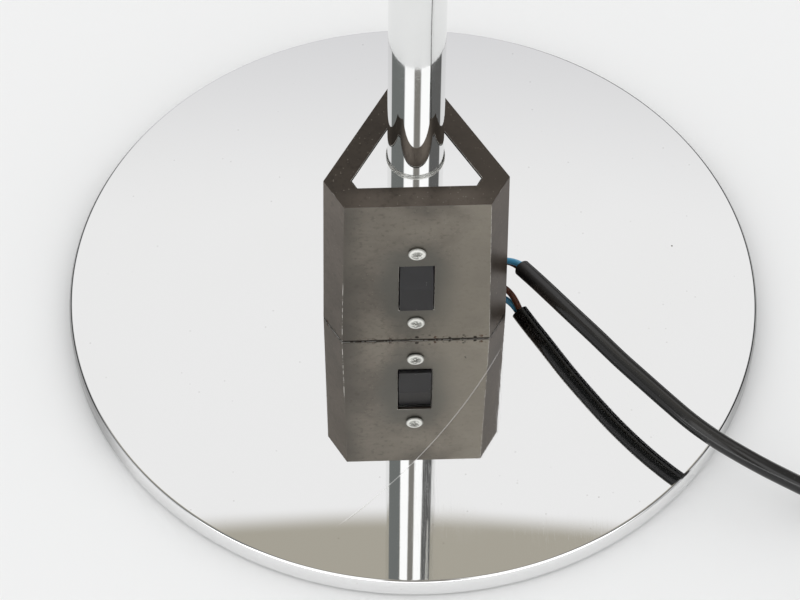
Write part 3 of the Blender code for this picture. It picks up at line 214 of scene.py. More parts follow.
def disc_look():
    """The base's mirror: rubbed scratches, dust, grit, one long hairline, and a painted dark reflection on
    the rim at the sides.
    """
    material, tree, shader, position = new_material("disc_chrome")
    lines = scratches(tree, position, 900.0, 0.010, (8, 41, 77, 118, 151))
    dust = specks(tree, position, 260.0, 0.14, 0.10)
    grit = specks(tree, position, 90.0, 0.055, 0.05)
    cloud = smooth(tree, noise_of(tree, position, 14.0, 4.0, 0.55), 0.4, 0.75)

    x, y, _ = xyz(tree, position)
    bow_x, bow_y, bow_radius = -0.2266, 0.1035, 0.2995
    dx, dy = math_node(tree, "SUBTRACT", x, bow_x), math_node(tree, "SUBTRACT", y, bow_y)
    reach = length_of(tree, dx, dy)
    off = apart(tree, reach, bow_radius)
    hair = smooth(tree, off, 0.00012, 0.00035, 1.0, 0.0)
    hair = times(tree, hair, smooth(tree, y, -0.032, -0.042))
    hair = times(tree, hair, smooth(tree, y, -0.131, -0.122))
    out = length_of(tree, x, y)
    # painted reflection: the rim at left and right is darkened to stand for dark surroundings mirrored in it
    rim = smooth(tree, out, DISC_RADIUS - 0.0016, DISC_RADIUS - 0.0012)
    rim = times(tree, rim, smooth(tree, apart(tree, x), 0.125, 0.150))

    colour = (0.905, 0.905, 0.905)
    tone = mix(tree, times(tree, cloud, 0.5), colour, (0.895, 0.895, 0.89))
    tone = mix(tree, times(tree, dust, 0.30), tone, (0.55, 0.54, 0.52))
    tone = mix(tree, times(tree, grit, 0.75), tone, (0.16, 0.14, 0.12))
    tone = mix(tree, times(tree, hair, 0.4), tone, (0.80, 0.79, 0.77))
    tone = mix(tree, times(tree, rim, 0.70), tone, (0.10, 0.10, 0.10))
    rough = scaled(tree, cloud, 0.010, 0.012)
    rough = scaled(tree, lines, 0.025, rough)
    rough = scaled(tree, grit, 0.5, rough)
    wire(tree, shader, larger(tree, lines, hair), 0.02, 0.00002, Base_Color=tone,
         Metallic=scaled(tree, hair, -0.30, 1.0), Roughness=rough)
    return material


def mottled(tree, position, dark, light, scale):
    """Tarnish on dark plating: broad patches, grain, hair scratches and dust. Gives tone and height."""
    broad = noise_of(tree, position, scale, 4.0, 0.6, distortion=0.6)
    fine = noise_of(tree, position, 420.0, 3.0, 0.6)
    tone = mix(tree, smooth(tree, broad, 0.30, 0.68), dark, light)
    tone = mix(tree, smooth(tree, fine, 0.50, 0.74, 0.0, 0.42), tone, lighter(dark, 0.6))
    lines = scratches(tree, position, 500.0, 0.012, (15, 95))
    tone = mix(tree, times(tree, lines, 0.25), tone, lighter(light, 2.2))
    dust = specks(tree, position, 900.0, 0.30, 0.14)
    tone = mix(tree, times(tree, dust, 0.30), tone, (0.50, 0.46, 0.38))
    return tone, fine


def rusted(tree, position, height, tone, fine):
    """A dark seam with brown and black spots along the housing's foot. Gives tone and rust."""
    low = smooth(tree, height, DISC_TOP + 0.0016, DISC_TOP + 0.0054, 1.0, 0.0)
    blotch = noise_of(tree, position, 380.0, 5.0, 0.7)
    rust = smooth(tree, scaled(tree, low, 0.22, blotch), 0.74, 0.84)
    brown = mix(tree, smooth(tree, fine, 0.4, 0.6), (0.034, 0.022, 0.015), (0.090, 0.046, 0.025))
    tone = mix(tree, rust, tone, brown)
    spots = times(tree, specks(tree, position, 330.0, 0.34, 0.30), low)
    seam = smooth(tree, height, DISC_TOP + 0.0006, DISC_TOP + 0.0014, 0.85, 0.0)
    return mix(tree, larger(tree, spots, seam), tone, (0.020, 0.016, 0.012)), rust


def front_look():
    """The housing's front: warm worn plating, with a darker grey ring round the switch and its screws."""
    material, tree, shader, position = new_material("housing_front")
    x, _, z = xyz(tree, position)
    tone, fine = mottled(tree, position, (0.200, 0.182, 0.158), (0.345, 0.314, 0.266), 24.0)
    up = math_node(tree, "DIVIDE", math_node(tree, "SUBTRACT", z, SWITCH_Z), 1.9)
    reach = length_of(tree, x, up)
    wander = scaled(tree, noise_of(tree, position, 60.0, 3.0), 0.012, -0.006)
    near = smooth(tree, math_node(tree, "ADD", reach, wander), 0.011, 0.023, 0.85, 0.0)
    tone = mix(tree, near, tone, (0.180, 0.176, 0.158))
    left = smooth(tree, x, -0.034, -0.020, 0.75, 0.0)
    tone = mix(tree, left, tone, (0.130, 0.121, 0.108))
    right = smooth(tree, scaled(tree, z, -0.15, x), -0.004, 0.014, 0.0, 0.55)
    tone = mix(tree, right, tone, (0.400, 0.368, 0.310))
    tone, rust = rusted(tree, position, z, tone, fine)
    wire(tree, shader, fine, 0.10, 0.0002, Base_Color=tone, Metallic=scaled(tree, rust, -0.75, 0.8),
         Roughness=scaled(tree, rust, 0.4, 0.38))
    return material


def flank_look():
    """The housing's other faces: the same plating, browner and darker towards +X."""
    material, tree, shader, position = new_material("housing_flanks")
    x, _, z = xyz(tree, position)
    light, fine = mottled(tree, position, (0.160, 0.134, 0.112), (0.216, 0.181, 0.152), 38.0)
    dark, _ = mottled(tree, position, (0.100, 0.078, 0.060), (0.138, 0.108, 0.084), 38.0)
    tone = mix(tree, smooth(tree, x, -0.01, 0.01), light, dark)
    tone, rust = rusted(tree, position, z, tone, fine)
    wire(tree, shader, fine, 0.10, 0.0002, Base_Color=tone, Metallic=scaled(tree, rust, -0.75, 0.8),
         Roughness=scaled(tree, rust, 0.4, 0.38))
    return material


def top_look():
    """The housing's top: brown-black plating, paler on the bar above the switch."""
    material, tree, shader, position = new_material("housing_top")
    x, y, _ = xyz(tree, position)
    dark, fine = mottled(tree, position, (0.052, 0.043, 0.036), (0.070, 0.058, 0.047), 38.0)
    pale, _ = mottled(tree, position, (0.105, 0.088, 0.074), (0.140, 0.118, 0.098), 30.0)
    sides = smooth(tree, apart(tree, x), 0.020, 0.036, 1.0, 0.25)
    bar = times(tree, smooth(tree, y, -0.016, -0.024), sides)
    dark = mix(tree, smooth(tree, x, 0.0, 0.03, 0.0, 0.6), dark, (0.092, 0.077, 0.063))
    wire(tree, shader, fine, 0.10, 0.0002, Base_Color=mix(tree, bar, dark, pale), Metallic=0.8,
         Roughness=0.36)
    return material


def worn_edge_look():
    """The housing's edges: bright down the front's right, chipped down its left, worn round the openings."""
    material, tree, shader, position = new_material("worn_edge")
    x, y, z = xyz(tree, position)
    broken = noise_of(tree, position, 260.0, 4.0, 0.7)
    line = smooth(tree, broken, 0.62, 0.42, 0.15, 0.9)
    chips = times(tree, smooth(tree, broken, 0.45, 0.52), smooth(tree, z, 0.062, 0.046))
    left = smooth(tree, math_node(tree, "ADD", chips, 0.16), 0.0, 1.0)
    bright = node(tree, "Mix", {"data_type": "FLOAT"}, in0=smooth(tree, x, 0.02, 0.03), in2=left,
                  in3=line).outputs[0]
    middle = smooth(tree, apart(tree, x), 0.010, 0.012, 1.0, 0.0)
    opening = times(tree, middle, smooth(tree, x, 0.006, -0.006, 0.15, 0.55))
    bright = larger(tree, bright, opening)
    bright = times(tree, bright, smooth(tree, z, HOUSING_TOP - 0.0012, HOUSING_TOP - 0.0006, 1.0, 0.06))
    out = times(tree, y, -1.0)
    for side in (1, -1):
        across = times(tree, x, side * cos(radians(30)))
        out = larger(tree, out, scaled(tree, y, sin(radians(30)), across))
    on_top = math_node(tree, "GREATER_THAN", z, HOUSING_TOP - 0.0012)
    window = times(tree, smooth(tree, out, 0.021, 0.023, 0.55, 0.0), on_top)
    bright = larger(tree, bright, window)
    tone = mix(tree, bright, (0.13, 0.112, 0.094), (0.88, 0.86, 0.80))
    wire(tree, shader, broken, 0.2, 0.0001, Base_Color=tone, Metallic=0.85, Roughness=0.36)
    return material


def plastic_look(name, colour, rough=0.4, grain=1400.0, bump=0.10, dusty=0.12):
    """Moulded plastic: a fine spark-eroded grain, faint flow marks and a trace of dust."""
    material, tree, shader, position = new_material(name)
    grain_height = noise_of(tree, position, grain, 2.0, 0.6)
    flow = noise_of(tree, position, 45.0, 3.0)
    dust = specks(tree, position, 700.0, 0.16, 0.10)
    tone = mix(tree, smooth(tree, flow, 0.35, 0.7, 0.0, 0.5), colour, lighter(colour, 1.25, 0.004))
    tone = mix(tree, times(tree, dust, dusty), tone, (0.5, 0.49, 0.47))
    roughness = scaled(tree, flow, 0.16, rough - 0.08)
    wire(tree, shader, grain_height, bump, 0.0002, Base_Color=tone, Roughness=roughness)
    return material


def cord_look():
    """Soft black PVC: a slight lay of the cores under the sheath, scuffs that run along it, dust, and a
    painted lighter upper side.
    """
    material, tree, shader, position = new_material("cord_pvc")
    along = node(tree, "UVMap", {"uv_map": "along"}).outputs[0]
    stripes = noise_of(tree, along, 60.0, 3.0, 0.6, (0.9, 26.0, 1.0))
    scuff = smooth(tree, noise_of(tree, position, 120.0, 5.0, 0.7), 0.60, 0.74)
    dust = specks(tree, position, 650.0, 0.20, 0.12)
    tone = mix(tree, smooth(tree, stripes, 0.45, 0.75, 0.0, 0.6), (0.005, 0.005, 0.0052),
               (0.013, 0.013, 0.0132))
    tone = mix(tree, times(tree, scuff, 0.30), tone, (0.08, 0.078, 0.075))
    tone = mix(tree, times(tree, dust, 0.15), tone, (0.42, 0.41, 0.39))
    # painted light: the side of the cord that faces up is made lighter, as if lit from above
    rise = xyz(tree, node(tree, "TexCoord").outputs["Normal"])[2]
    tone = mix(tree, smooth(tree, rise, 0.55, 0.95, 0.0, 0.40), tone, (0.062, 0.060, 0.057))
    rough = scaled(tree, scuff, 0.22, 0.15)
    ripple = node(tree, "TexWave", {"bands_direction": "X"}, Vector=along, Scale=14.0, Distortion=0.6,
                  Detail=1.0).outputs["Fac"]
    height = scaled(tree, ripple, 0.5, times(tree, stripes, 0.5))
    wire(tree, shader, height, 0.03, 0.0001, Base_Color=tone, Roughness=rough)
    return material


def core_look(name, colour, stain):
    """A core's thin insulation, a little crushed and stained where it was stripped."""
    material, tree, shader, position = new_material(name)
    cloud = noise_of(tree, position, 260.0, 3.0)
    tone = mix(tree, smooth(tree, cloud, 0.45, 0.75, 0.0, 0.7), colour, stain)
    wire(tree, shader, cloud, 0.2, 0.0003, Base_Color=tone, Roughness=0.34)
    return material


def felt_look():
    material, tree, shader, position = new_material("pad_felt")
    fibre = noise_of(tree, position, 1200.0, 4.0, 0.8)
    tone = mix(tree, fibre, (0.012, 0.012, 0.013), (0.045, 0.044, 0.043))
    wire(tree, shader, fibre, 0.8, 0.0004, Base_Color=tone, Roughness=0.95, Sheen_Weight=0.4)
    return material


def enamel_look():
    """The shade's white inside: stoved enamel with a light orange peel."""
    material, tree, shader, position = new_material("shade_enamel")
    peel = noise_of(tree, position, 320.0, 2.0)
    age = smooth(tree, noise_of(tree, position, 12.0, 3.0), 0.35, 0.75)
    tone = mix(tree, age, (0.82, 0.815, 0.79), (0.77, 0.76, 0.72))
    wire(tree, shader, peel, 0.06, 0.0003, Base_Color=tone, Roughness=0.24, Coat_Weight=0.3)
    return material


def spun_look():
    """The shade's outside: spun metal, polished over faint turning rings, then plated."""
    material, tree, shader, position = new_material("shade_chrome")
    x, y, z = xyz(tree, position)
    dx = math_node(tree, "SUBTRACT", x, HINGE.x)
    radius = length_of(tree, dx, y)
    line = node(tree, "CombineXYZ", X=radius, Y=z).outputs[0]
    rings = noise_of(tree, line, 900.0, 3.0, 0.7)
    haze = smooth(tree, noise_of(tree, position, 20.0, 4.0), 0.35, 0.75)
    tone = mix(tree, haze, (0.87, 0.875, 0.87), (0.82, 0.82, 0.81))
    rough = scaled(tree, rings, 0.06, 0.05)
    wire(tree, shader, rings, 0.03, 0.00006, Base_Color=tone, Metallic=1.0, Roughness=rough)
    return material


def opal_look():
    material, tree, shader, position = new_material("bulb_opal")
    cloud = noise_of(tree, position, 30.0, 2.0)
    tone = mix(tree, cloud, (0.90, 0.89, 0.86), (0.86, 0.85, 0.81))
    wire(tree, shader, Base_Color=tone, Roughness=0.16, Subsurface_Weight=0.5, Subsurface_Scale=0.003,
         Coat_Weight=0.4)
    return material


def clear_look():
    """The soft clear ring round the stem's foot, a little yellow and marked."""
    material, tree, shader, position = new_material("clear_ring")
    mark = noise_of(tree, position, 500.0, 3.0)
    tone = mix(tree, mark, (0.93, 0.93, 0.90), (0.80, 0.79, 0.74))
    rough = scaled(tree, mark, 0.3, 0.20)
    wire(tree, shader, Base_Color=tone, Roughness=rough, IOR=1.49, Transmission_Weight=0.85)
    return material


def metal_look(name, colour, rough, turned=True, tarnish=0.35):
    """Turned or pressed metal with its tool marks and a touch of tarnish."""
    material, tree, shader, position = new_material(name)
    marks = noise_of(tree, position, 900.0, 3.0, 0.6, (0.05, 0.05, 1.0) if turned else (1.0, 0.06, 1.0))
    cloud = smooth(tree, noise_of(tree, position, 150.0, 4.0), 0.4, 0.75)
    tone = mix(tree, times(tree, cloud, tarnish), colour, lighter(colour, 0.55))
    roughness = scaled(tree, cloud, 0.2, rough)
    wire(tree, shader, marks, 0.08, 0.0001, Base_Color=tone, Metallic=1.0, Roughness=roughness)
    return material


def zinc_look():
    """The housing's screws: pale dull zinc, darker in patches in the middle of the head, and a painted shadow
    round its rim.
    """
    material, tree, shader, position = new_material("screw_zinc")
    x, _, z = xyz(tree, position)
    cloud = noise_of(tree, position, 900.0, 3.0, 0.6)
    middle = sum(SCREW_HEIGHTS.values()) / 2
    up = apart(tree, z, middle)
    up = math_node(tree, "SUBTRACT", up, SCREW_HEIGHTS["upper"] - middle)
    reach = length_of(tree, x, up)
    # darker in noisy patches in the middle of the head
    dark_middle_and_rim_shadow = times(tree, smooth(tree, reach, 0.0020, 0.0031, 1.0, 0.0), smooth(tree, cloud, 0.36, 0.52))
    # painted shadow: the head is darkened all round its rim
    dark_middle_and_rim_shadow = larger(tree, dark_middle_and_rim_shadow, smooth(tree, reach, 0.0033, 0.0039, 0.0, 0.8))
    tone = mix(tree, smooth(tree, cloud, 0.5, 0.8, 0.0, 0.4), (0.90, 0.90, 0.85), (0.76, 0.76, 0.70))
    tone = mix(tree, times(tree, dark_middle_and_rim_shadow, 0.85), tone, (0.22, 0.22, 0.20))
    wire(tree, shader, cloud, 0.15, 0.0001, Base_Color=tone, Metallic=0.25, Roughness=0.5)
    return material


def make_looks():
    return {
        "chrome": chrome_look("stem_chrome", (0.86, 0.865, 0.86)),
        "small_chrome": chrome_look("fittings_chrome", (0.85, 0.855, 0.85), 0.10, 0.5, 140.0),
        "disc": disc_look(),
        "plate": chrome_look("plate_chrome", (0.91, 0.91, 0.91), 0.03, 0.3),
        "front": front_look(),
        "flank": flank_look(),
        "top": top_look(),
        "edge": worn_edge_look(),
        "inside": metal_look("housing_inside", (0.030, 0.027, 0.024), 0.5, False),
        "zinc": zinc_look(),
        "steel": metal_look("fixings_steel", (0.52, 0.52, 0.51), 0.30, False),
        "nickel": metal_look("screw_nickel", (0.80, 0.79, 0.76), 0.18),
        "brass": metal_look("brass_parts", (0.72, 0.55, 0.26), 0.24),
        "rocker": plastic_look("rocker_plastic", (0.020, 0.0195, 0.021), 0.36, 1800.0, 0.06, 0.35),
        "black": plastic_look("holder_plastic", (0.018, 0.018, 0.019), 0.42),
        "plug": plastic_look("plug_pvc", (0.016, 0.016, 0.017), 0.45, 1100.0, 0.16),
        "white": plastic_look("block_plastic", (0.72, 0.71, 0.67), 0.40, 900.0, 0.05, 0.0),
        "nylon": plastic_look("nylon_parts", (0.76, 0.75, 0.70), 0.45, 900.0, 0.05, 0.0),
        "tie": plastic_look("tie_strap", (0.022, 0.022, 0.023), 0.55, 2200.0, 0.30),
        "cord": cord_look(),
        "blue": core_look("core_blue", (0.085, 0.37, 0.62), (0.12, 0.36, 0.52)),
        "brown": core_look("core_brown", (0.150, 0.050, 0.026), (0.085, 0.032, 0.018)),
        "felt": felt_look(),
        "enamel": enamel_look(),
        "spun": spun_look(),
        "opal": opal_look(),
        "clear": clear_look(),
    }


# ---------------------------------------------------------------- shapes

# a block's faces, its four lower corners first
BLOCK_FACES = [(3, 2, 1, 0), (4, 5, 6, 7), (0, 1, 5, 4), (1, 2, 6, 5), (2, 3, 7, 6), (3, 0, 4, 7)]


def facing(direction):
    """The rotation that turns +Z to a direction."""
    return Vector((0, 0, 1)).rotation_difference(Vector(direction)).to_matrix().to_4x4()


def finish_piece(obj, body, replaced, sharp=32):
    """Shades a piece, puts it on its body and hides the CAD nodes that it stands for."""
    for polygon in obj.data.polygons:
        polygon.use_smooth = True
    obj.data.set_sharp_from_angle(angle=radians(sharp))
    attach(obj, body)
    if replaced:
        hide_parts(*replaced)
    return obj


def new_piece(name, points, faces, look_names, matrix=Matrix(), indices=None):
    """A mesh piece. Its look names are one text, with a space between two names."""
    mesh = bpy.data.meshes.new(name)
    mesh.from_pydata([matrix @ Vector(point) for point in points], [], faces)
    for look in look_names.split():
        mesh.materials.append(looks[look])
    if indices:
        mesh.polygons.foreach_set("material_index", indices)
    mesh.validate()
    mesh.update()
    obj = bpy.data.objects.new(name, mesh)
    bpy.context.scene.collection.objects.link(obj)
    return obj


def turned(name, profile, look_names, matrix=Matrix(), steps=64, second_from=None, flutes=None):
    """A profile of (radius, height) points, turned about Z. It ends on the axis or closes on itself.

    Points from second_from on have the second look. Flutes are (count, depth, low, high): grooves cut
    round the part between the two heights.
    """
    points, faces, indices, rings = [], [], [], []
    for radius, height in profile:
        if radius <= 0:
            rings.append([len(points)])
            points.append((0, 0, height))
            continue
        ring = []
        for i in range(steps):
            angle = 2 * pi * i / steps
            r = radius
            if flutes and flutes[2] <= height <= flutes[3]:
                r -= flutes[1] * (0.5 - 0.5 * cos(flutes[0] * angle)) ** 2
            ring.append(len(points))
            points.append((r * cos(angle), r * sin(angle), height))
        rings.append(ring)
    pairs = list(zip(rings, rings[1:]))
    if profile[0][0] > 0:
        pairs.append((rings[-1], rings[0]))
    for number, (upper, lower) in enumerate(pairs):
        for i in range(steps):
            j = (i + 1) % steps
            if len(upper) == 1 and len(lower) == 1:
                continue
            if len(upper) == 1:
                face = (upper[0], lower[i], lower[j])
            elif len(lower) == 1:
                face = (upper[i], lower[0], upper[j])
            else:
                face = (upper[i], lower[i], lower[j], upper[j])
            faces.append(face)
            indices.append(1 if second_from is not None and number >= second_from else 0)
    return new_piece(name, points, faces, look_names, matrix, indices)


def arc_points(centre, radius, start, end, count):
    """Points of (radius, height) on a quarter circle or less, for a rounded edge of a turned profile."""
    return [
        (centre[0] + radius * cos(radians(start + (end - start) * i / count)),
         centre[1] + radius * sin(radians(start + (end - start) * i / count)))
        for i in range(count + 1)
    ]


def refined(name, cad_node, look_names, bevel=0.0003, segments=2, edge_look=None):
    """A CAD node's shape with its triangles merged to flat faces and its edges rounded."""
    mesh = nodes[cad_node].data.copy()
    mesh.name = name
    mesh.materials.clear()
    for look in look_names.split():
        mesh.materials.append(looks[look])
    solid = bmesh.new()
    solid.from_mesh(mesh)
    bmesh.ops.remove_doubles(solid, verts=solid.verts, dist=0.000002)
    bmesh.ops.recalc_face_normals(solid, faces=solid.faces)
    bmesh.ops.dissolve_limit(solid, angle_limit=radians(0.4), verts=solid.verts, edges=solid.edges)
    for face in solid.faces:
        face.material_index = 0
    solid.to_mesh(mesh)
    solid.free()
    obj = bpy.data.objects.new(name, mesh)
    bpy.context.scene.collection.objects.link(obj)
    if bevel:
        rounding = obj.modifiers.new("Edges", "BEVEL")
        rounding.width = bevel
        rounding.segments = segments
        rounding.limit_method = "ANGLE"
        rounding.angle_limit = radians(28)
        rounding.miter_outer = "MITER_ARC"
        if edge_look is not None:
            rounding.material = edge_look
        weighted = obj.modifiers.new("Normals", "WEIGHTED_NORMAL")
        weighted.keep_sharp = True
        weighted.weight = 80
    return obj


def cut_with(obj, tool):
    """Cuts a tool's solid out of a piece, at once."""
    boolean = obj.modifiers.new("Cut", "BOOLEAN")
    boolean.object = tool
    boolean.solver = "EXACT"
    bpy.context.view_layer.update()
    result = bpy.data.meshes.new_from_object(obj.evaluated_get(bpy.context.evaluated_depsgraph_get()))
    obj.modifiers.remove(boolean)
    obj.data = result
    bpy.data.objects.remove(tool, do_unlink=True)


def smooth_line(route, spacing):
    """Points a set distance apart on the smooth curve through a route's own points."""
    route = [Vector(point) for point in route]
    fine = []
    for i in range(len(route) - 1):
        before, start = route[max(i - 1, 0)], route[i]
        end, after = route[i + 1], route[min(i + 2, len(route) - 1)]
        for step in range(12):
            t = step / 12
            leave, arrive = (end - before) / 2, (after - start) / 2
            fine.append(start * (2 * t**3 - 3 * t**2 + 1) + leave * (t**3 - 2 * t**2 + t)
                        + end * (3 * t**2 - 2 * t**3) + arrive * (t**3 - t**2))
    fine.append(route[-1])
    length = sum((b - a).length for a, b in zip(fine, fine[1:]))
    count = max(2, round(length / spacing))
    result, walked, wanted = [fine[0]], 0.0, 1
    for a, b in zip(fine, fine[1:]):
        step = (b - a).length
        while wanted < count and walked + step >= wanted * length / count:
            result.append(a.lerp(b, (wanted * length / count - walked) / step))
            wanted += 1
        walked += step
    return result + [fine[-1]]


def swept(name, line, radius, look_names, sides=16, bore=None):
    """A round bar along a line of points, or a pipe when it has a bore. Its UV map runs along and round."""
    last = len(line) - 1
    tangents = [(line[min(i + 1, last)] - line[max(i - 1, 0)]).normalized() for i in range(last + 1)]
    side = tangents[0].orthogonal().normalized()
    points, rows = [], []
    radii = [radius] if bore is None else [radius, bore]
    walked, lengths = 0.0, []
    for i, (point, tangent) in enumerate(zip(line, tangents)):
        if i:
            walked += (point - line[i - 1]).length
            side = (side - tangent * side.dot(tangent)).normalized()
        lengths.append(walked)
        other = tangent.cross(side)
        row = []
        for r in radii:
            row.append(len(points))
            for k in range(sides):
                angle = 2 * pi * k / sides
                points.append(point + (side * cos(angle) + other * sin(angle)) * r)
        rows.append(row)
    faces, uvs = [], []
    for i in range(len(rows) - 1):
        for shell in range(len(radii)):
            a, b = rows[i][shell], rows[i + 1][shell]
            for k in range(sides):
                n = (k + 1) % sides
                face = (a + k, a + n, b + n, b + k)
                spread = [(lengths[i], k / sides), (lengths[i], (k + 1) / sides),
                          (lengths[i + 1], (k + 1) / sides), (lengths[i + 1], k / sides)]
                if shell:
                    face, spread = face[::-1], spread[::-1]
                faces.append(face)
                uvs += spread
    for row, turn in ((rows[0], 1), (rows[-1], -1)):
        if bore is None:
            faces.append(tuple(row[0] + k for k in range(sides))[::-turn])
            uvs += [(0.0, 0.0)] * sides
        else:
            for k in range(sides):
                n = (k + 1) % sides
                faces.append((row[0] + k, row[1] + k, row[1] + n, row[0] + n)[::turn])
                uvs += [(0.0, 0.0)] * 4
    obj = new_piece(name, points, faces, look_names)
    layer = obj.data.uv_layers.new(name="along")
    flat = [value for pair in uvs for value in pair]
    layer.data.foreach_set("uv", flat)
    return obj


# ---------------------------------------------------------------- camera, floor and light


def make_camera():
    azimuth, elevation, roll = (radians(angle) for angle in (-2.538, 53.674, 0.602))
    back = Vector((sin(azimuth) * cos(elevation), -cos(azimuth) * cos(elevation), sin(elevation)))
    right = Vector((0, 0, 1)).cross(back).normalized()
    above = back.cross(right)
    x = right * cos(roll) + above * sin(roll)
    y = above * cos(roll) - right * sin(roll)
    data = bpy.data.cameras.new("camera")
    data.sensor_width, data.lens, data.clip_start, data.clip_end = 36.0, 154.6, 0.01, 60.0
    camera = bpy.data.objects.new("camera", data)
    bpy.context.scene.collection.objects.link(camera)
    matrix = Matrix((x, y, back)).transposed().to_4x4()
    matrix.translation = Vector((-0.048276, -0.950063, 1.296581))
    camera.matrix_world = matrix
    bpy.context.scene.camera = camera


def make_floor():
    """The studio floor. Only mirrors see the dark mats at its sides, well away from the lamp."""
    material, tree, shader, position = new_material("studio_floor")
    tone = mix(tree, noise_of(tree, position, 0.8, 2.0), (0.858, 0.862, 0.862), (0.868, 0.872, 0.872))
    x, y, _ = xyz(tree, position)
    azimuth = math_node(tree, "ARCTAN2", x, times(tree, y, -1.0))
    mats = larger(tree, band(tree, azimuth, -105, 42, 8.0), band(tree, azimuth, 105, 42, 8.0))
    far = length_of(tree, x, y)
    mats = times(tree, mats, smooth(tree, far, 0.7, 1.3))
    mats = times(tree, mats, node(tree, "LightPath").outputs["Is Glossy Ray"])
    tone = mix(tree, mats, tone, (0.10, 0.10, 0.10))
    wire(tree, shader, Base_Color=tone, Roughness=0.9, Specular_IOR_Level=0.0)
    half = 12.0
    corners = [(-half, -half, 0), (half, -half, 0), (half, half, 0), (-half, half, 0)]
    floor = new_piece("studio_floor", corners, [(0, 1, 2, 3)], "")
    floor.data.materials.append(material)


def band(tree, angle, middle, half, soft):
    """1 within half of the middle, in degrees, and 0 outside it, with a soft edge."""
    off = apart(tree, angle, radians(middle))
    return smooth(tree, off, radians(half - soft), radians(half + soft), 1.0, 0.0)


def make_world():
    """A pale studio. Mirrors see its parts: walls, a duller ceiling, windows, a light strip, dark stands."""
    world = bpy.data.worlds.new("studio")
    bpy.context.scene.world = world
    world.use_nodes = True
    tree = world.node_tree
    tree.nodes.clear()
    direction = node(tree, "TexCoord").outputs["Generated"]
    x, y, z = xyz(tree, direction)
    azimuth = math_node(tree, "ARCTAN2", x, times(tree, y, -1.0))  # 0 at the front, + to the right
    waves = node(tree, "TexNoise", Vector=direction, Scale=5.0, Detail=2.0).outputs["Fac"]
    elevation = math_node(tree, "ARCSINE", z)
    rippled = scaled(tree, waves, radians(0.5), elevation)

    wall = mix(tree, smooth(tree, elevation, radians(48), radians(52.4)), (0.70, 0.70, 0.715),
               (0.905, 0.905, 0.905))
    ceiling = mix(tree, smooth(tree, elevation, radians(60), radians(80)), (0.415, 0.39, 0.33),
                  (0.30, 0.285, 0.25))
    over = smooth(tree, rippled, radians(57.3), radians(57.7))
    seen = mix(tree, over, wall, ceiling)
    windows = larger(tree, band(tree, azimuth, 34, 19, 2.5), band(tree, azimuth, -30, 19, 2.5))
    windows = times(tree, windows, smooth(tree, elevation, radians(68), radians(76), 1.0, 0.0))
    seen = mix(tree, windows, seen, (1.25, 1.25, 1.25))
    high = smooth(tree, elevation, radians(20), radians(34))
    for middle, half, soft, colour in ((1.5, 12.5, 4.0, (0.25, 0.24, 0.22)),
                                       (-85, 34, 3.0, (0.18, 0.19, 0.185)),
                                       (84, 29, 3.0, (0.13, 0.13, 0.128))):
        shade = times(tree, band(tree, azimuth, middle, half, soft), high)
        seen = mix(tree, shade, seen, colour)
    low = smooth(tree, elevation, radians(38), radians(44), 1.0, 0.0)
    for middle, half, colour in ((-128, 30, (0.10, 0.105, 0.10)), (126, 42, (0.02, 0.02, 0.02))):
        seen = mix(tree, times(tree, band(tree, azimuth, middle, half, 6.0), low), seen, colour)
    strip = band(tree, elevation, 15, 3.5, 1.5)
    strip = times(tree, strip, band(tree, azimuth, 0, 60, 8.0))
    seen = mix(tree, strip, seen, (4.0, 4.0, 4.0))

    glossy = node(tree, "LightPath").outputs["Is Glossy Ray"]
    colour = mix(tree, glossy, (1.04, 1.04, 1.04), seen)
    background = node(tree, "Background", Color=colour, Strength=1.0)
    output = tree.nodes.new("ShaderNodeOutputWorld")
    tree.links.new(background.outputs[0], output.inputs[0])
    view = bpy.context.scene.view_settings
    view.view_transform, view.look, view.exposure, view.gamma = "Standard", "None", 0.0, 1.0


# ---------------------------------------------------------------- the cord and its cores


def coil_line():
    """Two layers of turns, clockwise from the coil's north: inwards below, up, then outwards on top."""
    outer, pitch, flat_turns, climb_turns = 0.056, 0.0083, 2.75, 0.5
    low, high = 0.0052, 0.0134
    inner = outer - pitch * flat_turns
    total = 2 * flat_turns + climb_turns
    steps = round(total * 36)
    line = []
    for i in range(steps + 1):
        turn = total * i / steps
        if turn <= flat_turns:
            radius, height = outer - pitch * turn, low
        elif turn <= flat_turns + climb_turns:
            share = (turn - flat_turns) / climb_turns
            radius = inner - 0.0015 * sin(pi * share)
            height = low + (high - low) * (3 * share**2 - 2 * share**3)
        else:
            radius, height = inner + pitch * (turn - flat_turns - climb_turns), high
        angle = 2 * pi * turn
        line.append(COIL_CENTRE + Vector((radius * sin(angle), radius * cos(angle), height)))
    return line


def make_cores():
    """The two cores come out of the grommet and bend through a quarter turn into the cut sheath."""
    outward = Vector((cos(radians(30)), sin(radians(30)), 0))
    rearward = Vector((-outward.y, outward.x, 0))
    hole = outward * 0.0291 - rearward * 0.0127 + Vector((0, 0, DISC_TOP + 0.0108))
    spacing, bend, inner, spread = 0.0034, 0.014, -0.0065, Vector((0.0, -0.0030, 0.0010))
    start = Vector(CORD_ROUTE[0])
    onward = (Vector(CORD_ROUTE[1]) - start).normalized()
    above = onward.cross(Vector((0, 0, 1))).cross(onward).normalized()
    cores = []
    for name, sign in (("blue", 1), ("brown", -1)):
        mouth = hole + Vector((0, 0, sign * spacing / 2))
        end = start + above * sign * spacing / 2 - onward * GAP
        route = [mouth + outward * inner, mouth]
        first, corner = mouth + outward * 0.0015, mouth + outward * bend + spread * sign
        for step in range(1, 6):
            t = step / 6
            route.append(first * (1 - t) ** 2 + corner * 2 * t * (1 - t) + end * t**2)
        route.append(end)
        core = swept(f"core_{name}", smooth_line(route, 0.0008), 0.0015, name, 14)
        cores.append(finish_piece(core, "base", [f"wire_{name}"]))
    return cores


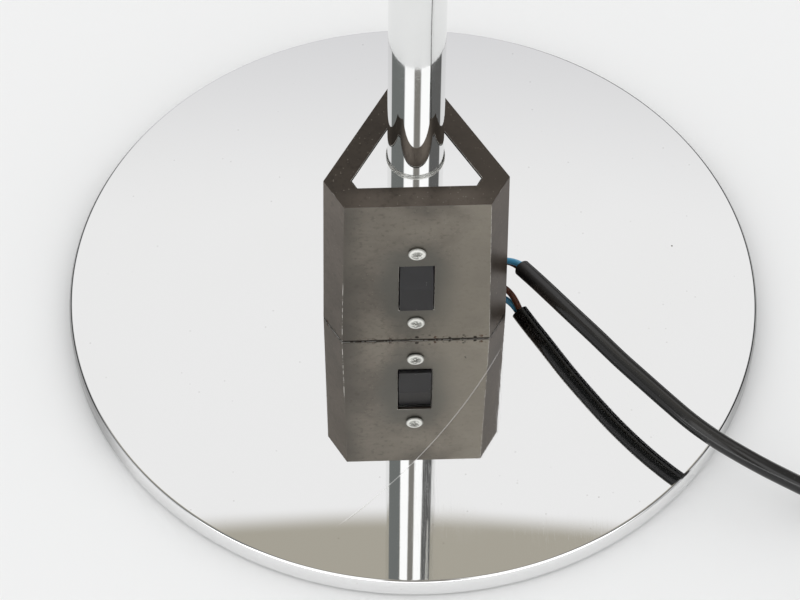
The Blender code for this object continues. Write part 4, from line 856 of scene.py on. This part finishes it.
def make_plug():
    """A flat two-pin plug: a fluted grip on each side, a ribbed strain relief and half-sleeved pins."""
    sections = [  # how far along, half width, half thickness, how square
        (0.0240, 0.0058, 0.0058, 2.0), (0.0265, 0.0075, 0.0060, 2.4), (0.0290, 0.0092, 0.0063, 3.4),
        (0.0330, 0.0106, 0.0065, 4.0), (0.0400, 0.0124, 0.0067, 4.5), (0.0450, 0.0129, 0.0068, 5.0),
        (0.0475, 0.0122, 0.0066, 5.0), (0.0500, 0.0121, 0.0066, 5.0), (0.0530, 0.0128, 0.0068, 5.0),
        (0.0590, 0.0129, 0.0068, 5.0), (0.0604, 0.0126, 0.0065, 4.6), (0.0610, 0.0118, 0.0058, 4.2),
    ]
    sides, points, faces = 40, [], []
    for along, width, thick, square in sections:
        for k in range(sides):
            angle = 2 * pi * k / sides
            c, s = cos(angle), sin(angle)
            points.append((along, width * copysign(abs(c) ** (2 / square), c),
                           thick * copysign(abs(s) ** (2 / square), s)))
    for i in range(len(sections) - 1):
        for k in range(sides):
            n = (k + 1) % sides
            faces.append((i * sides + k, i * sides + n, (i + 1) * sides + n, (i + 1) * sides + k))
    faces.append(tuple(range(sides))[::-1])
    faces.append(tuple((len(sections) - 1) * sides + k for k in range(sides)))
    shift = Matrix.Translation(PLUG_START)
    body = new_piece("plug_shell", points, faces, "plug", shift)
    finish_piece(body, "base", ["plug_body"], 50)

    profile = [(0.0, 0.0), (0.0046, 0.0)]
    for rib in range(8):
        base = 0.0004 + rib * 0.0029
        size = 0.0047 + 0.00012 * rib
        profile += [(size + 0.0003, base), (size + 0.0005, base + 0.0005), (size + 0.0005, base + 0.0014),
                    (size + 0.0003, base + 0.0019), (size - 0.0006, base + 0.0021),
                    (size - 0.0006, base + 0.0027)]
    profile += [(0.0056, 0.0246), (0.0056, 0.0262), (0.0, 0.0262)]
    relief = turned("plug_strain_relief", profile[::-1], "plug", shift @ facing((1, 0, 0)), 40)
    finish_piece(relief, "base", [])
    relief.parent, relief.matrix_parent_inverse = body, body.matrix_world.inverted()

    pins = []
    for name, side in (("left", 1), ("right", -1)):
        profile = [(0, 0.019), (0.0008, 0.019), (0.0015, 0.0187), (0.0019, 0.0178), (0.0019, 0.0092),
                   (0.0018, 0.0090), (0.0018, 0.0088), (0.00199, 0.0086), (0.00199, 0.0), (0, 0)]
        seat = PLUG_START + Vector((0.0613, side * 0.0093, 0))
        pin = turned(f"pin_{name}", profile, "nickel plug",
                     Matrix.Translation(seat) @ facing((1, 0, 0)), 32, second_from=6)
        pins.append(finish_piece(pin, "base", [f"plug_pin_{name}"]))
    return [body, relief, *pins]


def make_cord():
    line = smooth_line([Vector(point) for point in CORD_ROUTE] + coil_line()
                       + [Vector(point) for point in TAIL_ROUTE], 0.0028)
    cord = swept("mains_cord", line, CORD_DIAMETER / 2, "cord", 18)
    finish_piece(cord, "base", ["cord_run", "cord_coil", "cord_tail"], 50)
    cores = make_cores()
    plug = make_plug()
    tie = refined("coil_tie", "cord_tie", "tie", 0.00025, 2)
    finish_piece(tie, "base", ["cord_tie"])


# ---------------------------------------------------------------- the base, the stem and the housing


def make_base():
    edge = [(DISC_RADIUS - 0.0015 * (1 - sin(radians(a))), DISC_TOP - 0.003 * (1 - cos(radians(a))))
            for a in range(0, 91, 9)]
    profile = [(0.0053, DISC_TOP), (0.08, DISC_TOP), (0.150, DISC_TOP), (0.1583, DISC_TOP)] + edge + [
        (DISC_RADIUS, DISC_BASE + 0.0005), (DISC_RADIUS - 0.0005, DISC_BASE), (0.0123, DISC_BASE),
        (0.0123, DISC_BASE + 0.0059), (0.0053, DISC_BASE + 0.0059),
    ]
    disc = turned("base_plate", profile, "disc", steps=224)
    finish_piece(disc, "base", ["base_disc"], 40)
    pad = turned("base_felt", [(0, 0.001), (0.1497, 0.001), (0.150, 0.0007), (0.150, 0.0003), (0.1497, 0),
                               (0, 0)],
                 "felt", steps=160)
    finish_piece(pad, "base", ["base_pad"])


def make_stem():
    def pipe(name, low, high):
        soft = 0.0003
        profile = [(STEM_BORE, high), (STEM_RADIUS - soft, high), (STEM_RADIUS, high - soft),
                   (STEM_RADIUS, low + soft), (STEM_RADIUS - soft, low), (STEM_BORE, low)]
        return turned(name, profile, "chrome", steps=96)

    lower = pipe("stem_lower_tube", STEM_BASE, STEM_JOINT)
    lead_side = Matrix.Rotation(radians(-30), 4, "Z") @ facing((1, 0, 0))
    drill = turned("drill", [(0, 0.025), (0.004, 0.025), (0.004, 0), (0, 0)], "chrome",
                   Matrix.Translation((0, 0, DISC_TOP + 0.064)) @ lead_side, 32)
    cut_with(lower, drill)
    finish_piece(lower, "base", ["stem_lower"])
    finish_piece(pipe("stem_upper_tube", STEM_JOINT + GAP, STEM_TOP), "base", ["stem_upper"])


def make_housing():
    shell = refined("switch_housing", "housing", "flank top edge front inside", 0.00038, 3, edge_look=2)
    for polygon in shell.data.polygons:
        if polygon.normal.z > 0.9 and polygon.center.z > HOUSING_TOP - 0.001:
            polygon.material_index = 1
        elif polygon.normal.x * polygon.center.x + polygon.normal.y * polygon.center.y < 0:
            polygon.material_index = 4
        elif polygon.normal.y < -0.9:
            polygon.material_index = 3
    finish_piece(shell, "base", ["housing"])
    plate = refined("window_plate", "top_plate", "plate", 0.00015, 2)
    finish_piece(plate, "base", ["top_plate"])
    inner, outer, low, high = 0.0128, 0.01305, FIELD_TOP + GAP, FIELD_TOP + GAP + 0.0007
    profile = [(inner, high - 0.00005), (inner + 0.00005, high), (outer - 0.00005, high),
               (outer, high - 0.0001), (outer, low + 0.00005), (outer - 0.00005, low), (inner, low)]
    finish_piece(turned("stem_foot_ring", profile, "clear", steps=96), "base", ["foot_ring"])
    grommet = refined("cord_bushing", "cord_grommet", "plug", 0.0003, 3)
    finish_piece(grommet, "base", ["cord_grommet"])


def make_screws():
    head, height = 0.0040, 0.0013
    for end, z in SCREW_HEIGHTS.items():
        dome = [(0, height), (0.0016, height - 0.00002)] + [
            (0.0016 + 0.0024 * sin(radians(a)), height - 0.00002 - 0.0008 * (1 - cos(radians(a))))
            for a in range(10, 91, 8)
        ]
        profile = dome + [(head, 0.0003), (head - 0.0002, 0), (0.002, 0), (0.0018, -0.0003)]
        for thread in range(9):
            base = -0.0006 - thread * 0.0008
            profile += [(0.0020, base), (0.0016, base - 0.0004)]
        profile += [(0.0014, -0.008), (0, -0.008)]
        matrix = Matrix.Translation((0, FRONT - GAP, z)) @ facing((0, -1, 0)) @ Matrix.Rotation(
            radians(11 if end == "upper" else 38), 4, "Z")
        screw = turned(f"screw_{end}", profile, "zinc", matrix, 64)
        for turn in (0, 90):
            bar = cross_bar(matrix @ Matrix.Rotation(radians(turn), 4, "Z"), height)
            cut_with(screw, bar)
        finish_piece(screw, "base", [f"housing_screw_{end}"])


def cross_bar(matrix, height):
    """One arm pair of the cross recess: narrower and shorter at its floor."""
    floor, roof = height - 0.0007, height + 0.001
    points = [(sx * (0.0009 if z == floor else 0.0022), sy * (0.00025 if z == floor else 0.00045), z)
              for z in (floor, roof) for sx, sy in ((-1, -1), (1, -1), (1, 1), (-1, 1))]
    return new_piece("cross_bar", points, BLOCK_FACES, "zinc", matrix)


def make_switch():
    finish_piece(refined("rocker_cap", "rocker", "rocker", 0.0005, 3), "rocker", ["rocker"])
    for name, cad_node, look, slot, bevel in (
        ("switch_case", "switch_body", "black", "black_plastic", 0.00025),
        ("bracket", "switch_bracket", "steel", "steel", 0.0002),
        ("tag_live", "terminal_live", "brass", "brass", 0.0001),
        ("tag_load", "terminal_load", "brass", "brass", 0.0001),
        ("wiring_block", "terminal_block", "white", "white_plastic", 0),
        ("collar", "plate_collar", "steel", "steel", 0.0004),
    ):
        finish_piece(refined(name, cad_node, look, bevel), "base", [cad_node])


# ---------------------------------------------------------------- the swivel head and the arc


def make_swivel():
    soft = 0.0015
    profile = [(0.0120, HEAD_HEIGHT)] + arc_points((0.016 - soft, HEAD_HEIGHT - soft), soft, 90, 0, 5) + [
        (0.016, HEAD_HEIGHT - 0.010), (0.0156, HEAD_HEIGHT - 0.0104), (0.0156, HEAD_HEIGHT - 0.0112),
        (0.016, HEAD_HEIGHT - 0.0116)] + arc_points((0.016 - soft, soft), soft, 0, -90, 5) + [
        (0.0107, 0), (0.0107, -0.0246), (0.0103, -0.025), (0.005, -0.025), (0.005, 0.008), (0.0098, 0.008),
        (0.0098, 0.036), (0.0120, 0.036)]
    head = turned("swivel_housing", profile, "small_chrome", Matrix.Translation((0, 0, HEAD_BASE)), 96)
    outward = Matrix.Translation((0, 0, CLAMP_Z)) @ facing((-1, 0, 0))
    drill = turned("drill", [(0, 0.032), (0.0033, 0.032), (0.0033, 0), (0, 0)], "small_chrome", outward, 32)
    cut_with(head, drill)
    finish_piece(head, "base", ["swivel_head"])
    bush = [(0.0098, 0.0158), (0.0142, 0.0158), (0.0145, 0.0155), (0.0145, 0.0143), (0.0117, 0.0143),
            (0.0117, 0.0003), (0.0098, 0.0003)]
    bush = turned("swivel_bearing", bush, "nylon", Matrix.Translation((0, 0, HEAD_BASE + 0.036)), 96)
    finish_piece(bush, "base", ["swivel_bush"])
    end = 0.0313
    profile = [(0, end - 0.0006), (0.0030, end - 0.0006), (0.0036, end), (0.0078, end),
               (0.0086, end - 0.0004), (0.0090, end - 0.0012), (0.0090, 0.0206), (0.0086, 0.0198),
               (0.0078, 0.0193), (0.0050, 0.0193), (0.00495, 0.0163), (0.003, 0.0163), (0.003, 0.0104),
               (0.0024, 0.0098), (0, 0.0098)]
    knob = turned("clamp_knob", profile, "small_chrome", outward, 192,
                  flutes=(32, 0.0006, 0.0200, end - 0.001))
    finish_piece(knob, "clamp_screw", ["clamp_screw"], 40)


def make_arc():
    tail, line = HEAD_BASE + 0.0083, []
    for i in range(7):
        line.append(Vector((0, 0, tail + (SPRING - tail) * i / 7)))
    for i in range(121):
        angle = radians(180 - (180 - ARC_END_ANGLE) * i / 120)
        line.append(Vector((ARC_REACH * (1 + cos(angle)), 0, SPRING + ARC_RISE * sin(angle))))
    arc = swept("arc", line, 0.0095, "chrome", 40, bore=0.0083)
    finish_piece(arc, "arm", ["arc_tube"], 50)
    fitting = refined("arc_end", "end_fitting", "small_chrome", 0.0004, 3)
    finish_piece(fitting, "arm", ["end_fitting"])


# ---------------------------------------------------------------- the shade and the lamp


def make_shade():
    down = Matrix.Translation(HINGE)
    finish_piece(refined("fork", "shade_fork", "small_chrome", 0.0004, 3), "shade_head",
                 ["shade_fork"])
    across = facing((0, 1, 0))
    cheek = 0.0076  # y of the fork's outer faces
    profile = [(0, cheek + 0.0103), (0.0022, cheek + 0.0103), (0.0025, cheek + 0.0099),
               (0.0025, -cheek - 0.0003)]
    profile += [(0.0045, -cheek - 0.0003)] + [
        (0.0045 * cos(radians(a)), -cheek - 0.0013 - 0.0020 * sin(radians(a)))
        for a in range(0, 81, 10)] + [(0, -cheek - 0.0033)]
    bolt = turned("hinge_bolt", profile, "nickel", down @ across, 48)
    slot_bar = new_piece("slot_bar", [(x, y, z) for z in (-cheek - 0.0040, -cheek - 0.0022) for x, y in (
        (-0.006, -0.0004), (0.006, -0.0004), (0.006, 0.0004), (-0.006, 0.0004))],
        BLOCK_FACES, "nickel", down @ across)
    cut_with(bolt, slot_bar)
    finish_piece(bolt, "shade_head", ["tilt_bolt"])
    profile = [(0.0028, 0.010), (0.0074, 0.010), (0.0084, 0.0096), (0.009, 0.0088), (0.009, 0.0034),
               (0.0086, 0.0028), (0.0056, 0.0015), (0.0054, 0.0), (0.0028, 0.0)]
    knob = turned("tilt_grip", profile, "small_chrome",
                  Matrix.Translation(HINGE + Vector((0, cheek + GAP, 0))) @ across, 192,
                  flutes=(30, 0.0006, 0.0030, 0.0090))
    finish_piece(knob, "tilt_knob", ["tilt_knob"], 40)

    cap_top = -0.0243
    profile = [(0.0053, cap_top), (0.0128, cap_top), (0.0134, cap_top - 0.0003)]
    for i in range(1, 13):
        share = i / 12
        profile.append((0.0134 + 0.0186 * sin(pi / 2 * share), cap_top - 0.0003 - 0.0052 * (
            1 - cos(pi / 2 * share))))
    profile += [(0.0320, cap_top - 0.0058), (0.0318, cap_top - 0.0060), (0.0306, cap_top - 0.0060),
                (0.0300, cap_top - 0.0050), (0.0250, cap_top - 0.0030), (0.011, cap_top - 0.0015),
                (0.0053, cap_top - 0.0015)]
    finish_piece(turned("canopy_cap", profile, "small_chrome", down, 96), "shade_head",
                 ["shade_cap"])

    top, height, flat, rim, wall = -0.0306, 0.150, 0.030, 0.140, 0.001
    outside, inside = [(0.0053, top), (flat * 0.6, top)], []
    steps = 36
    for i in range(steps + 1):
        angle = pi / 2 * i / steps
        outside.append((flat + (rim - flat) * sin(angle), top - height * (1 - cos(angle))))
        inside.append((flat + (rim - wall - flat) * sin(angle), top - wall - (height - wall) * (
            1 - cos(angle))))
    lip = [(rim, top - height + 0.0004), (rim - 0.0004, top - height), (rim - 0.0022, top - height),
           (rim - 0.0027, top - height + 0.0005), (rim - 0.0027, top - height + 0.0016),
           (rim - 0.0022, top - height + 0.0022), (rim - 0.0011, top - height + 0.0024)]
    profile = outside[:-1] + lip + inside[-3::-1] + [(flat * 0.6, top - wall), (0.0053, top - wall)]
    shade = turned("shade_bowl", profile, "spun enamel", down, 160,
                   second_from=len(outside) + len(lip) - 2)
    for i in range(8):
        angle = radians(45 * i + 22.5)
        drill = turned("drill", [(0, 0.02), (0.003, 0.02), (0.003, 0), (0, 0)], "enamel",
                       down @ Matrix.Translation((0.038 * cos(angle), 0.038 * sin(angle), top - 0.012)), 24)
        cut_with(shade, drill)
    finish_piece(shade, "shade_head", ["shade"], 40)

    low, high = -0.0409, -0.0173
    profile = [(0.0038, high)]
    for i in range(24):
        z = high - 0.0002 - i * 0.00098
        profile += [(0.0046, z), (0.0050, z - 0.0004)]
    profile += [(0.0046, low), (0.0038, low)]
    finish_piece(turned("threaded_nipple", profile, "brass", down, 48), "shade_head",
                 ["shade_nipple"])

    top = -0.0319
    profile = [(0.0053, top), (0.011, top)] + [
        (0.011 + 0.009 * sin(radians(a)), top - 0.012 * (1 - cos(radians(a))))
        for a in range(10, 91, 10)] + [(0.020, top - 0.0165), (0.0196, top - 0.018), (0.018, top - 0.018),
                                       (0.018, top - 0.0125), (0.015, top - 0.008), (0.0053, top - 0.008)]
    finish_piece(turned("holder_dome", profile, "black", down, 160,
                        flutes=(40, 0.0004, top - 0.0166, top - 0.0115)),
                 "shade_head", ["lampholder_cap"], 40)
    top = -0.0502
    profile = [(0, top), (0.020, top), (0.020, top - 0.0042), (0.019, top - 0.005), (0.019, top - 0.0060)]
    for i in range(6):
        z = top - 0.0075 - i * 0.0038
        profile += [(0.0190, z), (0.0190, z - 0.0016), (0.0184, z - 0.0020), (0.0184, z - 0.0034)]
    profile += [(0.0190, top - 0.031), (0.0186, top - 0.0336), (0.018, top - 0.034), (0.0144, top - 0.034),
                (0.0144, top - 0.006), (0, top - 0.006)]
    finish_piece(turned("holder_skirt", profile, "black", down, 96), "shade_head",
                 ["lampholder_body"])

    top = -0.0577
    profile = [(0, top), (0.0043, top), (0.0050, top - 0.0008), (0.0054, top - 0.002), (0.0118, top - 0.0042)]
    for i in range(6):
        z = top - 0.0052 - i * 0.0034
        profile += [(0.0124, z), (0.01305, z - 0.0009), (0.01305, z - 0.0015), (0.0124, z - 0.0024)]
    profile += [(0.0130, top - 0.0256), (0.0130, top - 0.026), (0, top - 0.026)]
    finish_piece(turned("bulb_screw_cap", profile, "nickel black", down, 64), "shade_head",
                 ["bulb_cap"])
    top = -0.0840
    globe, length = 0.030, 0.078
    centre = top - length + globe
    outline = [(0.0125, top), (0.0128, top - 0.004), (0.0138, top - 0.011), (0.0162, top - 0.0185),
               (0.0196, top - 0.0255)]
    outline += [(globe * cos(radians(a)), centre + globe * sin(radians(a)))
                for a in range(40, -90, -5)]
    bulb = turned("bulb_globe", [(0, top)] + outline + [(0, centre - globe)], "opal", down, 96)
    finish_piece(bulb, "shade_head", ["bulb_glass"], 60)


def dress_hidden_nodes():
    """CAD nodes whose shape is right as it is, and that sit inside the lamp."""
    for look, names in (
        ("steel", ("base_bolt", "base_washer", "stem_foot", "stem_coupler", "rocker_pin")),
        ("cord", ("stem_cable", "arc_cable")),
        ("brown", ("lead_live", "lead_switched")),
        ("blue", ("lead_neutral",)),
        ("nylon", ("tilt_washer_left", "tilt_washer_right")),
    ):
        for name in names:
            for place in nodes[name].material_slots:
                place.link = "OBJECT"
                place.material = looks[look]


make_camera()
looks = make_looks()
make_cord()
make_floor()
make_world()
make_base()
make_stem()
make_housing()
make_screws()
make_switch()
make_swivel()
make_arc()
make_shade()
dress_hidden_nodes()
